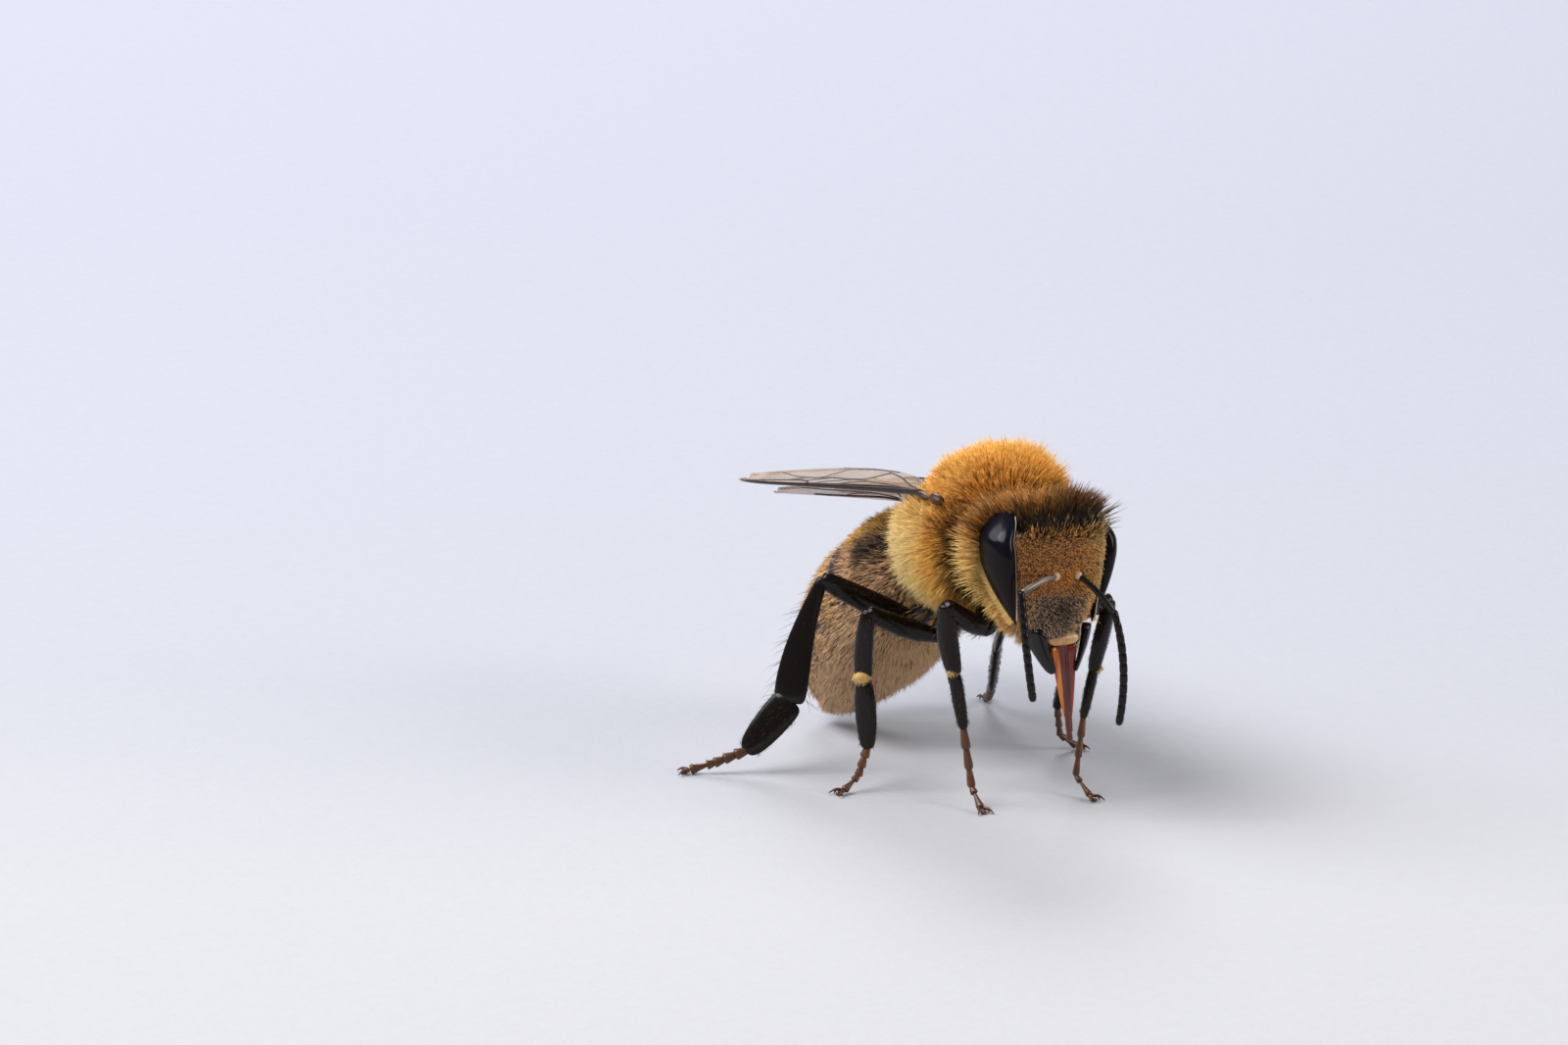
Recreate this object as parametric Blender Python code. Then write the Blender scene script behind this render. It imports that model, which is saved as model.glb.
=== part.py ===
"""A honey bee worker, life size: a still model that stands on its six feet.

The bee faces -Y, its left side is +X and +Z is up. All sizes below are in
millimetres in the bee's own frame, whose Z axis runs up from the floor through
the middle of the thorax. The solids reach out to the tips of the coat.
"""

import math

import bmesh
import bpy
from mathutils import Matrix, Vector

MM = 0.001

# Driving dimensions, in millimetres.
ORIGIN = (-1.66, 2.05)  # the point of the floor under the middle of the whole bee
GAP = 0.08  # the thin cut between neighbouring pieces

THORAX_CENTRE = (0.0, -0.02, 6.44)
THORAX_RADII = (2.3, 2.18, 2.52)
THORAX_FULLNESS = 2.5
CREST_START = 0.5  # above this height over its middle the thorax leans forwards
CREST_SLOPE = 0.55  # how far it leans for each millimetre of height

HEAD_CENTRE = (0.0, -3.36, 6.35)
HEAD_HALF_WIDTH = 1.9
HEAD_HALF_DEPTH = 0.9
HEAD_TOP = 8.05
# How far up the head from the mouth as a share of its height, and its share of the full width.
HEAD_OUTLINE = ((0.0, 0.26), (0.06, 0.44), (0.16, 0.65), (0.3, 0.82), (0.45, 0.95), (0.6, 1.0),
                (0.74, 0.99), (0.86, 0.89), (0.94, 0.73), (0.985, 0.52), (1.0, 0.32))
HEAD_BOTTOM = 4.66
# The oval that marks each eye out of the head: its middle beside the head's, and its radii.
EYE_MIDDLE = (2.2, -0.2, 0.27)
EYE_RADII = (1.1, 0.85, 2.3)
EYE_LEAN = 3.0  # degrees that the top of each eye leans to the middle
HEAD_PIVOT = (-0.03, -3.4, 6.4)
HEAD_TILT = 6.0  # degrees that the head drops to the bee's left

PETIOLE = (0.0, 2.2, 5.5)
ABDOMEN_LENGTH = 6.65
ABDOMEN_BEND = 17.0  # degrees that the abdomen turns to the bee's right
ABDOMEN_DROOP = (35.0, 69.0)  # degrees below level, at its root and at its tip
ABDOMEN_CUTS = (0.28, 1.35, 2.5, 3.6, 4.7, 5.7, 6.65)
# How far along the abdomen, and its half width there.
ABDOMEN_OUTLINE = ((0.0, 0.55), (0.28, 0.95), (0.7, 1.45), (1.35, 1.82), (2.5, 2.02),
                   (3.6, 1.95), (4.7, 1.64), (5.7, 1.12), (6.25, 0.66), (6.65, 0.24))
ABDOMEN_FLATNESS = 0.95  # its height over its width
PLATE_FLARE = 0.035  # how far the rear edge of each plate stands over the next one

WING_ROOT = (1.8, 0.35, 7.42)
WING_SLOPE = 11.6  # degrees that the folded wings fall towards their tips
WING_SPREAD = 6.6  # degrees between each front edge and the bee's middle plane
WING_LAYER = 0.25  # half the height between the two folded forewings
WING_HALF_THICKNESS = 0.22
WING_CORNERS = 10  # corners of each ring of a wing, and how boxy its rings are below 1
WING_SQUARENESS = 0.6
FOREWING_LENGTH = 9.3
# How far along the wing as a share of its length, and its width there.
FOREWING_WIDTHS = ((0.0, 0.45), (0.08, 0.75), (0.2, 1.35), (0.4, 2.25), (0.6, 2.95), (0.72, 3.05),
                   (0.82, 2.8), (0.9, 2.3), (0.96, 1.55), (1.0, 0.45))
HINDWING_LENGTH = 6.3
TIP_START = 0.72  # where the front edge starts to round off to the tip, as a share of its length
TIP_SWEEP = 0.28  # how far it rounds inwards, as a share of the blade's width
HINDWING_WIDTHS = ((0.0, 0.4), (0.12, 0.75), (0.35, 1.0), (0.65, 1.1), (0.85, 0.95), (0.95, 0.65),
                   (1.0, 0.3))

FEELER_HALF_THICKNESS = 0.24
# Socket, elbow, a point half way down and tip of each feeler.
FEELERS = {
    "right": ((-0.42, -4.44, 6.44), (-1.52, -4.66, 6.22), (-1.5, -4.9, 4.9), (-1.32, -5.0, 3.5)),
    "left": ((0.38, -4.48, 6.38), (1.0, -4.98, 5.56), (1.22, -5.12, 4.1), (1.17, -5.0, 2.6)),
}

MOUTH = (0.0, -3.84, 4.6)
TONGUE_TIP = (0.24, -4.12, 2.02)

# The joints of each leg from its root in the thorax to its toe: root, trochanter, knee,
# end of the tibia, end of the basitarsus, ankle and toe.
LEG_JOINTS = {
    ("fore", "right"): ((-0.55, -1.25, 4.9), (-1.0, -1.95, 4.55), (-2.3, -2.12, 5.38),
                        (-1.86, -1.86, 3.5), (-1.62, -1.95, 2.05), (-1.45, -2.15, 0.5),
                        (-1.5, -2.75, 0.1)),
    ("fore", "left"): ((0.55, -1.25, 4.9), (1.0, -1.95, 4.5), (2.45, -2.2, 4.95),
                       (2.02, -2.2, 3.2), (1.72, -2.25, 2.0), (1.45, -2.4, 0.5),
                       (1.55, -3.0, 0.1)),
    ("middle", "right"): ((-0.6, 0.2, 4.45), (-1.2, 0.28, 3.82), (-3.2, 0.3, 4.67),
                          (-3.3, 0.28, 2.95), (-3.25, 0.1, 1.17), (-3.5, 0.12, 0.42),
                          (-3.95, 0.05, 0.1)),
    ("middle", "left"): ((0.6, 0.2, 4.45), (1.2, 0.3, 3.82), (3.1, 0.7, 4.6),
                         (3.15, 0.85, 2.9), (2.85, 1.05, 1.2), (2.95, 1.05, 0.42),
                         (3.4, 0.98, 0.1)),
    ("hind", "right"): ((-0.7, 1.1, 4.5), (-1.15, 1.62, 3.9), (-3.42, 2.35, 5.06),
                        (-4.36, 2.3, 1.93), (-5.36, 2.7, 0.62), (-6.15, 3.0, 0.3),
                        (-6.72, 3.25, 0.12)),
    ("hind", "left"): ((0.7, 1.1, 4.5), (1.15, 1.62, 3.9), (3.1, 3.1, 4.98),
                       (2.78, 4.15, 2.08), (2.95, 4.7, 0.72), (3.15, 5.2, 0.32),
                       (3.35, 5.7, 0.12)),
}
LEG_PIECES = ("coxa", "femur", "tibia", "basitarsus", "tarsus")
# For each piece, how far along it as a share of its length, its half width and half thickness.
LEG_WIDTHS = {
    ("fore", "coxa"): ((0.0, 0.36, 0.36), (0.6, 0.36, 0.34), (1.0, 0.28, 0.28)),
    ("fore", "femur"): ((0.0, 0.26, 0.26), (0.3, 0.31, 0.28), (1.0, 0.25, 0.25)),
    ("fore", "tibia"): ((0.0, 0.24, 0.24), (0.5, 0.3, 0.26), (1.0, 0.24, 0.24)),
    ("fore", "basitarsus"): ((0.0, 0.24, 0.24), (0.5, 0.27, 0.25), (1.0, 0.23, 0.23)),
    ("middle", "coxa"): ((0.0, 0.4, 0.4), (0.6, 0.38, 0.36), (1.0, 0.3, 0.3)),
    ("middle", "femur"): ((0.0, 0.27, 0.27), (0.35, 0.32, 0.28), (1.0, 0.25, 0.25)),
    ("middle", "tibia"): ((0.0, 0.24, 0.24), (0.5, 0.27, 0.25), (1.0, 0.25, 0.24)),
    ("middle", "basitarsus"): ((0.0, 0.25, 0.24), (0.45, 0.32, 0.25), (1.0, 0.25, 0.23)),
    ("hind", "coxa"): ((0.0, 0.42, 0.42), (0.6, 0.4, 0.38), (1.0, 0.32, 0.32)),
    ("hind", "femur"): ((0.0, 0.28, 0.28), (0.4, 0.36, 0.28), (1.0, 0.27, 0.26)),
    ("hind", "tibia"): ((0.0, 0.26, 0.25), (0.35, 0.36, 0.26), (0.85, 0.44, 0.26),
                        (1.0, 0.38, 0.25)),
    ("hind", "basitarsus"): ((0.0, 0.34, 0.24), (0.2, 0.4, 0.25), (0.8, 0.36, 0.25),
                             (1.0, 0.27, 0.23)),
    ("any", "tarsus"): ((0.0, 0.23, 0.22), (0.6, 0.22, 0.2), (0.85, 0.26, 0.2), (1.0, 0.18, 0.16)),
}
# The way the broad sides of each leg face, out from the body and a little ahead.
BROAD_SIDE = {"right": (-0.75, -0.62, 0.15), "left": (0.75, -0.62, 0.15)}
BLUNT_END = 0.22  # how far each piece of a leg rounds off past its joint

# Colour, roughness and metallic value of each material.
FINISHES = {
    "golden_coat": ((0.52, 0.24, 0.04), 0.8, 0.0),
    "face_coat": ((0.12, 0.065, 0.025), 0.75, 0.0),
    "amber_plate": ((0.42, 0.2, 0.04), 0.5, 0.0),
    "brown_plate": ((0.07, 0.045, 0.03), 0.45, 0.0),
    "compound_eye": ((0.012, 0.01, 0.02), 0.18, 0.0),
    "black_shell": ((0.018, 0.014, 0.012), 0.32, 0.0),
    "red_mouthparts": ((0.42, 0.07, 0.012), 0.25, 0.0),
    "wing_film": ((0.3, 0.22, 0.14), 0.3, 0.0),
}


def clear_scene():
    for item in list(bpy.data.objects):
        bpy.data.objects.remove(item, do_unlink=True)


def finish(name):
    """The named material, made on first use."""
    material = bpy.data.materials.get(name)
    if material is None:
        colour, roughness, metallic = FINISHES[name]
        material = bpy.data.materials.new(name)
        material.use_nodes = True
        shader = material.node_tree.nodes["Principled BSDF"]
        shader.inputs["Base Color"].default_value = (*colour, 1.0)
        shader.inputs["Roughness"].default_value = roughness
        shader.inputs["Metallic"].default_value = metallic
    return material


def between(table, at):
    """The values of a table of (place, value, ...) rows at a place, in straight steps."""
    rows = list(table)
    for low, high in zip(rows, rows[1:]):
        if at <= high[0]:
            share = (at - low[0]) / (high[0] - low[0])
            return [a + (b - a) * share for a, b in zip(low[1:], high[1:])]
    return list(rows[-1][1:])


def add_body(name, bm, material, parent):
    """An object made of a mesh in millimetres, whose faces are turned outwards."""
    bmesh.ops.recalc_face_normals(bm, faces=bm.faces)
    bmesh.ops.scale(bm, vec=(MM, MM, MM), verts=bm.verts)
    mesh = bpy.data.meshes.new(name)
    bm.to_mesh(mesh)
    bm.free()
    mesh.shade_smooth()
    mesh.set_sharp_from_angle(angle=math.radians(40))
    mesh.materials.append(finish(material))
    body = bpy.data.objects.new(name, mesh)
    body.parent = parent
    bpy.context.scene.collection.objects.link(body)
    return body


def ring_share(step, sides, squareness=1.0):
    """How far round an oval ring a corner lies, as shares of its two half sizes."""
    angle = 2 * math.pi * (step + 0.5) / sides
    return [math.copysign(abs(share) ** squareness, share)
            for share in (math.cos(angle), math.sin(angle))]


def skin_over(rings):
    """A closed mesh through rings of points, each with as many points as the last."""
    bm = bmesh.new()
    rings = [[bm.verts.new(point) for point in ring] for ring in rings]
    for low, high in zip(rings, rings[1:]):
        for step in range(len(low)):
            after = (step + 1) % len(low)
            bm.faces.new((low[step], low[after], high[after], high[step]))
    bm.faces.new(rings[0])
    bm.faces.new(rings[-1])
    return bm


def loft(stations, sides, broad_side):
    """A closed mesh through oval rings, each (middle, half width, half thickness).

    The rings stand square to the line through their middles. Their thickness lies along
    broad_side as far as that allows.
    """
    middles = [Vector(middle) for middle, *_ in stations]
    rings = []
    for at, (_, half_width, half_thickness) in enumerate(stations):
        ahead = middles[min(at + 1, len(middles) - 1)] - middles[max(at - 1, 0)]
        across = ahead.cross(Vector(broad_side)).normalized()
        through = across.cross(ahead).normalized()
        shares = [ring_share(step, sides) for step in range(sides)]
        rings.append([middles[at] + across * half_width * side + through * half_thickness * rise
                      for side, rise in shares])
    return skin_over(rings)


def egg(centre, radii, fullness, rings, sides, grow=0.0):
    """Stations of a closed rounded body along Y, fuller than an ellipsoid above fullness 2."""
    x, y, z = centre
    stations = []
    for step in range(rings + 1):
        along = -math.cos(math.pi * (step + 0.35) / (rings + 0.7))
        share = (1 - abs(along) ** fullness) ** (1 / fullness)
        stations.append(((x, y + along * (radii[1] + grow), z), share * (radii[0] + grow),
                         share * (radii[2] + grow)))
    return loft(stations, sides, (0, 0, 1))


def thorax_mesh(grow=0.0):
    """The egg of the thorax, whose crest leans forwards over the neck."""
    bm = egg(THORAX_CENTRE, THORAX_RADII, THORAX_FULLNESS, 12, 22, grow)
    for vert in bm.verts:
        vert.co.y -= CREST_SLOPE * max(0.0, vert.co.z - THORAX_CENTRE[2] - CREST_START)
    return bm


def trim(body, cutter):
    """Cuts the clearance of a neighbour out of a body."""
    cut = body.modifiers.new("clearance", "BOOLEAN")
    cut.operation = "DIFFERENCE"
    cut.object = cutter
    cut.solver = "EXACT"


def hide_cutter(body):
    body.hide_render = True
    body.display_type = "WIRE"
    return body


def make_thorax(bee):
    add_body("thorax", thorax_mesh(), "golden_coat", bee)
    return hide_cutter(add_body("thorax_clearance", thorax_mesh(GAP), "golden_coat", bee))


def tilt(bm):
    """Turns a piece of the head with it."""
    turn = Matrix.Rotation(math.radians(HEAD_TILT), 3, "Y")
    bmesh.ops.rotate(bm, cent=HEAD_PIVOT, matrix=turn, verts=bm.verts)
    return bm


def head_half_width(rise):
    """Half the head's width at a share of its height, 0 at the mouth and 1 at the crown."""
    return between(HEAD_OUTLINE, rise)[0] * HEAD_HALF_WIDTH


def head_mesh(grow=0.0):
    """The head from its mouth up to its crown, thinnest at both ends."""
    x, y, _ = HEAD_CENTRE
    stations = []
    steps = 14
    for step in range(steps + 1):
        rise = 0.5 - 0.5 * math.cos(math.pi * step / steps)
        depth = HEAD_HALF_DEPTH * (1 - abs(2 * rise - 1.04) ** 3.2 * 0.62)
        height = HEAD_BOTTOM - grow + (HEAD_TOP - HEAD_BOTTOM + 2 * grow) * rise
        lean = -0.16 * (1 - rise) ** 2
        stations.append(((x, y + lean, height), head_half_width(rise) + grow, depth + grow))
    return tilt(loft(stations, 24, (0, 1, 0)))


def eye_oval(side, grow):
    """The upright oval that marks one eye out of the head."""
    bm = bmesh.new()
    bmesh.ops.create_uvsphere(bm, u_segments=20, v_segments=12, radius=1.0)
    bmesh.ops.scale(bm, vec=[radius + grow for radius in EYE_RADII], verts=bm.verts)
    lean = math.radians(-EYE_LEAN * side)
    for vert in bm.verts:
        x, _, z = vert.co
        vert.co.x = x * math.cos(lean) + z * math.sin(lean)
        vert.co.z = z * math.cos(lean) - x * math.sin(lean)
    x, y, z = EYE_MIDDLE
    bmesh.ops.translate(bm, vec=Vector(HEAD_CENTRE) + Vector((x * side, y, z)), verts=bm.verts)
    return tilt(bm)


def make_head(bee):
    """The head, with each eye cut out of it as a piece of its own."""
    head = add_body("head", head_mesh(), "face_coat", bee)
    for side, word in ((-1, "right"), (1, "left")):
        eye = add_body("eye_" + word, head_mesh(), "compound_eye", bee)
        keep = eye.modifiers.new("oval", "BOOLEAN")
        keep.operation = "INTERSECT"
        keep.solver = "EXACT"
        keep.object = hide_cutter(add_body("oval_" + word, eye_oval(side, 0.0), "black_shell",
                                           bee))
        socket = add_body("socket_" + word, eye_oval(side, GAP), "black_shell", bee)
        trim(head, hide_cutter(socket))
    return hide_cutter(add_body("head_clearance", head_mesh(GAP), "face_coat", bee))


def make_mouthparts(bee, head_clearance):
    x, y, z = MOUTH
    labrum = loft([((x, y - 0.2, z + 0.1), 0.44, 0.22), ((x, y - 0.22, z - 0.14), 0.42, 0.22),
                   ((x, y - 0.24, z - 0.3), 0.28, 0.18)], 12, (0, 1, 0))
    trim(add_body("labrum", labrum, "black_shell", bee), head_clearance)
    for side, word in ((-1, "right"), (1, "left")):
        root = Vector((x + 0.94 * side, y - 0.02, z + 0.42))
        tip = Vector((x + 0.44 * side, y - 0.32, z - 0.74))
        stations = []
        for share, half_width, half_thickness in ((0.0, 0.24, 0.24), (0.3, 0.21, 0.22),
                                                  (0.7, 0.17, 0.2), (1.0, 0.12, 0.12)):
            bow = Vector((0.1 * side, 0, 0)) * math.sin(math.pi * share)
            stations.append((root.lerp(tip, share) + bow, half_width, half_thickness))
        trim(add_body("mandible_" + word, loft(stations, 10, (0, 1, 0)), "black_shell", bee),
             head_clearance)
    root, tip = Vector((x, y + 0.34, z + 0.2)), Vector(TONGUE_TIP)
    split = 0.76
    sheath = [(root.lerp(tip, share), half_width, 0.24)
              for share, half_width in ((0.0, 0.3), (0.5, 0.28), (split, 0.24))]
    trim(add_body("proboscis", loft(sheath, 12, (0, 1, 0)), "red_mouthparts", bee),
         head_clearance)
    after = split + GAP / (tip - root).length
    tongue = [(root.lerp(tip, share), half_width, half_width)
              for share, half_width in ((after, 0.23), (0.92, 0.19), (1.0, 0.1))]
    add_body("tongue", loft(tongue, 10, (0, 1, 0)), "red_mouthparts", bee)


def make_neck_and_waist(bee, thorax_clearance, head_clearance):
    x, y, z = THORAX_CENTRE
    front = [((x, y - THORAX_RADII[1] + 0.2, z), 0.72, 0.72),
             ((x, HEAD_CENTRE[1] + HEAD_HALF_DEPTH - 0.2, z), 0.68, 0.68)]
    neck = add_body("neck", loft(front, 14, (0, 0, 1)), "golden_coat", bee)
    trim(neck, thorax_clearance)
    trim(neck, head_clearance)
    start = abdomen_point(ABDOMEN_CUTS[0] - GAP)
    rear = [(start + (abdomen_point(0) - abdomen_point(0.3)) * 2.4, 0.5, 0.5),
            (abdomen_point(0), 0.5, 0.5), (start, 0.52, 0.52)]
    trim(add_body("petiole", loft(rear, 12, (0, 0, 1)), "brown_plate", bee), thorax_clearance)


def abdomen_point(distance):
    """The middle of the abdomen at a distance from its root, along its curved axis."""
    point = Vector(PETIOLE)
    bend = math.radians(ABDOMEN_BEND)
    steps = 24
    for step in range(steps):
        share = (step + 0.5) / steps * distance / ABDOMEN_LENGTH
        droop = math.radians(ABDOMEN_DROOP[0] + (ABDOMEN_DROOP[1] - ABDOMEN_DROOP[0]) * share)
        level = math.cos(droop) * distance / steps
        point += Vector((-math.sin(bend) * level, math.cos(bend) * level,
                         -math.sin(droop) * distance / steps))
    return point


def make_abdomen(bee):
    """Six ringed plates, each a little proud of the next one."""
    for number, (start, end) in enumerate(zip(ABDOMEN_CUTS, ABDOMEN_CUTS[1:]), start=1):
        stations = []
        last = number == len(ABDOMEN_CUTS) - 1
        end = end if last else end - GAP
        steps = 4 if last else 3
        for step in range(steps + 1):
            distance = start + (end - start) * step / steps
            half_width = between(ABDOMEN_OUTLINE, distance)[0]
            half_width *= 1 + PLATE_FLARE * (step / steps - 0.5)
            stations.append((abdomen_point(distance), half_width, half_width * ABDOMEN_FLATNESS))
        plate = "amber_plate" if number <= 2 else "brown_plate"
        add_body("abdomen_%d" % number, loft(stations, 22, (0, 0, 1)), plate, bee)


def wing_mesh(side, root, length, widths, spread, lift):
    """A folded wing: its straight front edge lies outside, its broad blade inside."""
    slope, spread = math.radians(WING_SLOPE), math.radians(spread)
    along = Vector((math.sin(spread) * side * math.cos(slope), math.cos(spread) * math.cos(slope),
                    -math.sin(slope)))
    inward = Vector((-side, 0, 0))
    blade = max(width for _, width in widths)
    corners = [ring_share(step, WING_CORNERS, WING_SQUARENESS) for step in range(WING_CORNERS)]
    rings = []
    for share, width in widths:
        tip_share = max(0.0, share - TIP_START) / (1 - TIP_START)
        edge_sweep = TIP_SWEEP * (1 - math.sqrt(1 - tip_share ** 2)) * blade
        front = Vector(root) + along * length * share + inward * edge_sweep
        middle = front + inward * width / 2 + Vector((0, 0, lift))
        rings.append([middle + Vector((across * width / 2, 0, rise * WING_HALF_THICKNESS))
                      for across, rise in corners])
    return skin_over(rings)


def make_wings(bee, thorax_clearance):
    """The right forewing lies over the left one, and each hindwing under its forewing."""
    x, y, z = WING_ROOT
    for side, word in ((-1, "right"), (1, "left")):
        root = (x * side, y, z)
        forewing = wing_mesh(side, root, FOREWING_LENGTH, FOREWING_WIDTHS, WING_SPREAD,
                             -WING_LAYER * side)
        trim(add_body("forewing_" + word, forewing, "wing_film", bee), thorax_clearance)
        hind_root = (x * side, y + 1.0, z - 0.18)
        hind_lift = -WING_LAYER * side - 2 * WING_HALF_THICKNESS - GAP
        hindwing = wing_mesh(side, hind_root, HINDWING_LENGTH, HINDWING_WIDTHS, WING_SPREAD,
                             hind_lift)
        trim(add_body("hindwing_" + word, hindwing, "wing_film", bee), thorax_clearance)


def cut_off(bm, point, outward):
    """Cuts off what lies beyond a plane through a point, and closes the cut."""
    cut = bmesh.ops.bisect_plane(bm, geom=bm.verts[:] + bm.edges[:] + bm.faces[:],
                                 plane_co=point, plane_no=outward, clear_outer=True)
    rim = [item for item in cut["geom_cut"] if isinstance(item, bmesh.types.BMEdge)]
    bmesh.ops.contextual_create(bm, geom=rim)


def leg_stations(line, widths):
    """Rings along a leg's piece, with a blunt end a little past its first and last joint."""
    reach = [0.0]
    for low, high in zip(line, line[1:]):
        reach.append(reach[-1] + (high - low).length)
    shares = [row[0] for row in widths]
    shares += [at / reach[-1] for at in reach[1:-1]]
    stations = []
    for share in sorted(set(shares)):
        at = next(end for end in range(1, len(reach)) if reach[end] >= share * reach[-1] - 1e-6)
        part = (share * reach[-1] - reach[at - 1]) / (reach[at] - reach[at - 1])
        stations.append((line[at - 1].lerp(line[at], part), *between(widths, share)))
    for end, inner in ((0, 1), (-1, -2)):
        beyond = (line[end] - line[inner]).normalized()
        point, half_width, half_thickness = stations[end]
        blunt = [(point + beyond * BLUNT_END * part, half_width * size, half_thickness * size)
                 for part, size in ((0.6, 0.85), (1.0, 0.5))]
        stations = blunt[::-1] + stations if end == 0 else stations + blunt
    return stations


def part_at(bm, joints, joint, way):
    """Cuts a piece off at one of its joints, on the plane that halves the angle there."""
    before = (joints[joint] - joints[joint - 1]).normalized()
    after = (joints[joint + 1] - joints[joint]).normalized()
    outward = (before + after).normalized() * way
    cut_off(bm, joints[joint] - outward * GAP / 2, outward)


def make_feelers(bee, head_clearance):
    """Each feeler is a short scape and a long flagellum that hangs from its elbow."""
    thick = FEELER_HALF_THICKNESS
    for word, points in FEELERS.items():
        joints = [Vector(point) for point in points]
        socket, elbow, middle, tip = joints
        scape = loft(leg_stations([socket, elbow], ((0.0, thick, thick), (1.0, thick, thick))), 8,
                     (0, 1, 0.2))
        part_at(scape, joints, 1, 1)
        trim(add_body("scape_" + word, scape, "black_shell", bee), head_clearance)
        line = [elbow.lerp(middle, share / 4).lerp(middle.lerp(tip, share / 4), share / 4)
                for share in range(5)]
        flagellum = loft(leg_stations(line, ((0.0, thick, thick), (1.0, thick, thick))), 8,
                         (0, 1, 0.2))
        part_at(flagellum, joints, 1, -1)
        add_body("flagellum_" + word, flagellum, "black_shell", bee)


def make_leg(bee, pair, word, thorax_clearance):
    """The pieces of one leg, parted by thin cuts that halve the angle at each joint."""
    joints = [Vector(point) for point in LEG_JOINTS[pair, word]]
    for at, piece in enumerate(LEG_PIECES):
        last = len(joints) - 1 if piece == "tarsus" else at + 1
        widths = LEG_WIDTHS.get((pair, piece)) or LEG_WIDTHS["any", piece]
        bm = loft(leg_stations(joints[at:last + 1], widths), 8, BROAD_SIDE[word])
        for joint, way in ((at, -1), (last, 1)):
            if 0 < joint < len(joints) - 1:
                part_at(bm, joints, joint, way)
        if piece == "tarsus":
            cut_off(bm, Vector((0, 0, 0)), Vector((0, 0, -1)))
        body = add_body("%s_%s_%s" % (piece, pair, word), bm, "black_shell", bee)
        if piece == "coxa":
            trim(body, thorax_clearance)


def main():
    clear_scene()
    bee = bpy.data.objects.new("bee", None)
    bee.location = (-ORIGIN[0] * MM, -ORIGIN[1] * MM, 0)
    bpy.context.scene.collection.objects.link(bee)
    thorax_clearance = make_thorax(bee)
    head_clearance = make_head(bee)
    make_mouthparts(bee, head_clearance)
    make_neck_and_waist(bee, thorax_clearance, head_clearance)
    make_abdomen(bee)
    make_wings(bee, thorax_clearance)
    make_feelers(bee, head_clearance)
    for pair, word in LEG_JOINTS:
        make_leg(bee, pair, word, thorax_clearance)


main()
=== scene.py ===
import math

import bmesh
import bpy
import numpy as np
from mathutils import Matrix, Vector
from mathutils.kdtree import KDTree


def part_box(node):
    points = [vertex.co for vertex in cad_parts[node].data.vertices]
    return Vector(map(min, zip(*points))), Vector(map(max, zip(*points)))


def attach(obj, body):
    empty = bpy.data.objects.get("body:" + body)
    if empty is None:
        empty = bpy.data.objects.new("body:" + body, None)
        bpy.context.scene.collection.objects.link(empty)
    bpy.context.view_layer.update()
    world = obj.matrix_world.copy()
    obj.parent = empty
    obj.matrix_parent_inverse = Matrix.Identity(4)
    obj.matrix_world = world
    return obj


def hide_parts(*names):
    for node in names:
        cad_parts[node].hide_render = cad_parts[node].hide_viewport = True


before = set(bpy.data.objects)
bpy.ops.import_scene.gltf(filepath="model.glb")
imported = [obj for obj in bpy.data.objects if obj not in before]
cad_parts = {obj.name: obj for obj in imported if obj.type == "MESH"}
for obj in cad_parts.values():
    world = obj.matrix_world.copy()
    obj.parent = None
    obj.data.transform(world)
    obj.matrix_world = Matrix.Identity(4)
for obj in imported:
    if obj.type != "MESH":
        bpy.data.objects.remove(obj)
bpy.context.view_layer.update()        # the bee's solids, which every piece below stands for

# The bee faces -Y with its left side at +X. Pieces are shaped in millimetres beside it, in a
# frame whose Z axis runs through the middle of the thorax, and put in their place at the end.
thoraxLow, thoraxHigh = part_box("thorax")
thoraxRear = 2.152       # how far behind that axis the thorax ends
beeShift = Vector(((thoraxLow.x + thoraxHigh.x) * 500, thoraxHigh.y * 1000 - thoraxRear, 0))
toFrame = Matrix.Scale(0.001, 4) @ Matrix.Translation(beeShift)
sides = (("right", -1), ("left", 1))


def deselectAll():
    bpy.ops.object.select_all(action="DESELECT")


def pick(piece):
    deselectAll()
    piece.select_set(True)
    bpy.context.view_layer.objects.active = piece


def smoothStep(low, high, value):
    share = np.clip((value - low) / (high - low), 0, 1)
    return share * share * (3 - 2 * share)


def along(table, at):
    # the values of a table of (place, value, ...) rows, eased from row to row without corners
    rows = np.array(table, float)
    x, values = rows[:, 0], rows[:, 1:]
    slope = np.gradient(values, x, axis=0)
    at = np.clip(np.asarray(at, float), x[0], x[-1])
    low = np.clip(np.searchsorted(x, at) - 1, 0, len(x) - 2)
    gap = x[low + 1] - x[low]
    t = ((at - x[low]) / gap)[..., None]
    gap = gap[..., None]
    return ((1 + 2 * t) * (1 - t) ** 2 * values[low] + t * (1 - t) ** 2 * gap * slope[low]
            + t ** 2 * (3 - 2 * t) * values[low + 1] + t ** 2 * (t - 1) * gap * slope[low + 1])


def useModifier(piece, kind, **settings):
    pick(piece)
    modifier = piece.modifiers.new(kind.lower(), kind)
    for key, value in settings.items():
        setattr(modifier, key, value)
    bpy.ops.object.modifier_apply(modifier=modifier.name)


def subdivide(piece, times=1):
    useModifier(piece, "SUBSURF", levels=times, render_levels=times)


def ringPlace(middle, ahead, flatTo, halfWidth, halfThick):
    across = ahead.cross(Vector(flatTo)).normalized()
    through = across.cross(ahead).normalized()
    place = Matrix((across * halfWidth, through * halfThick, ahead.normalized())).transposed()
    return Matrix.Translation(middle) @ place.to_4x4()


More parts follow.
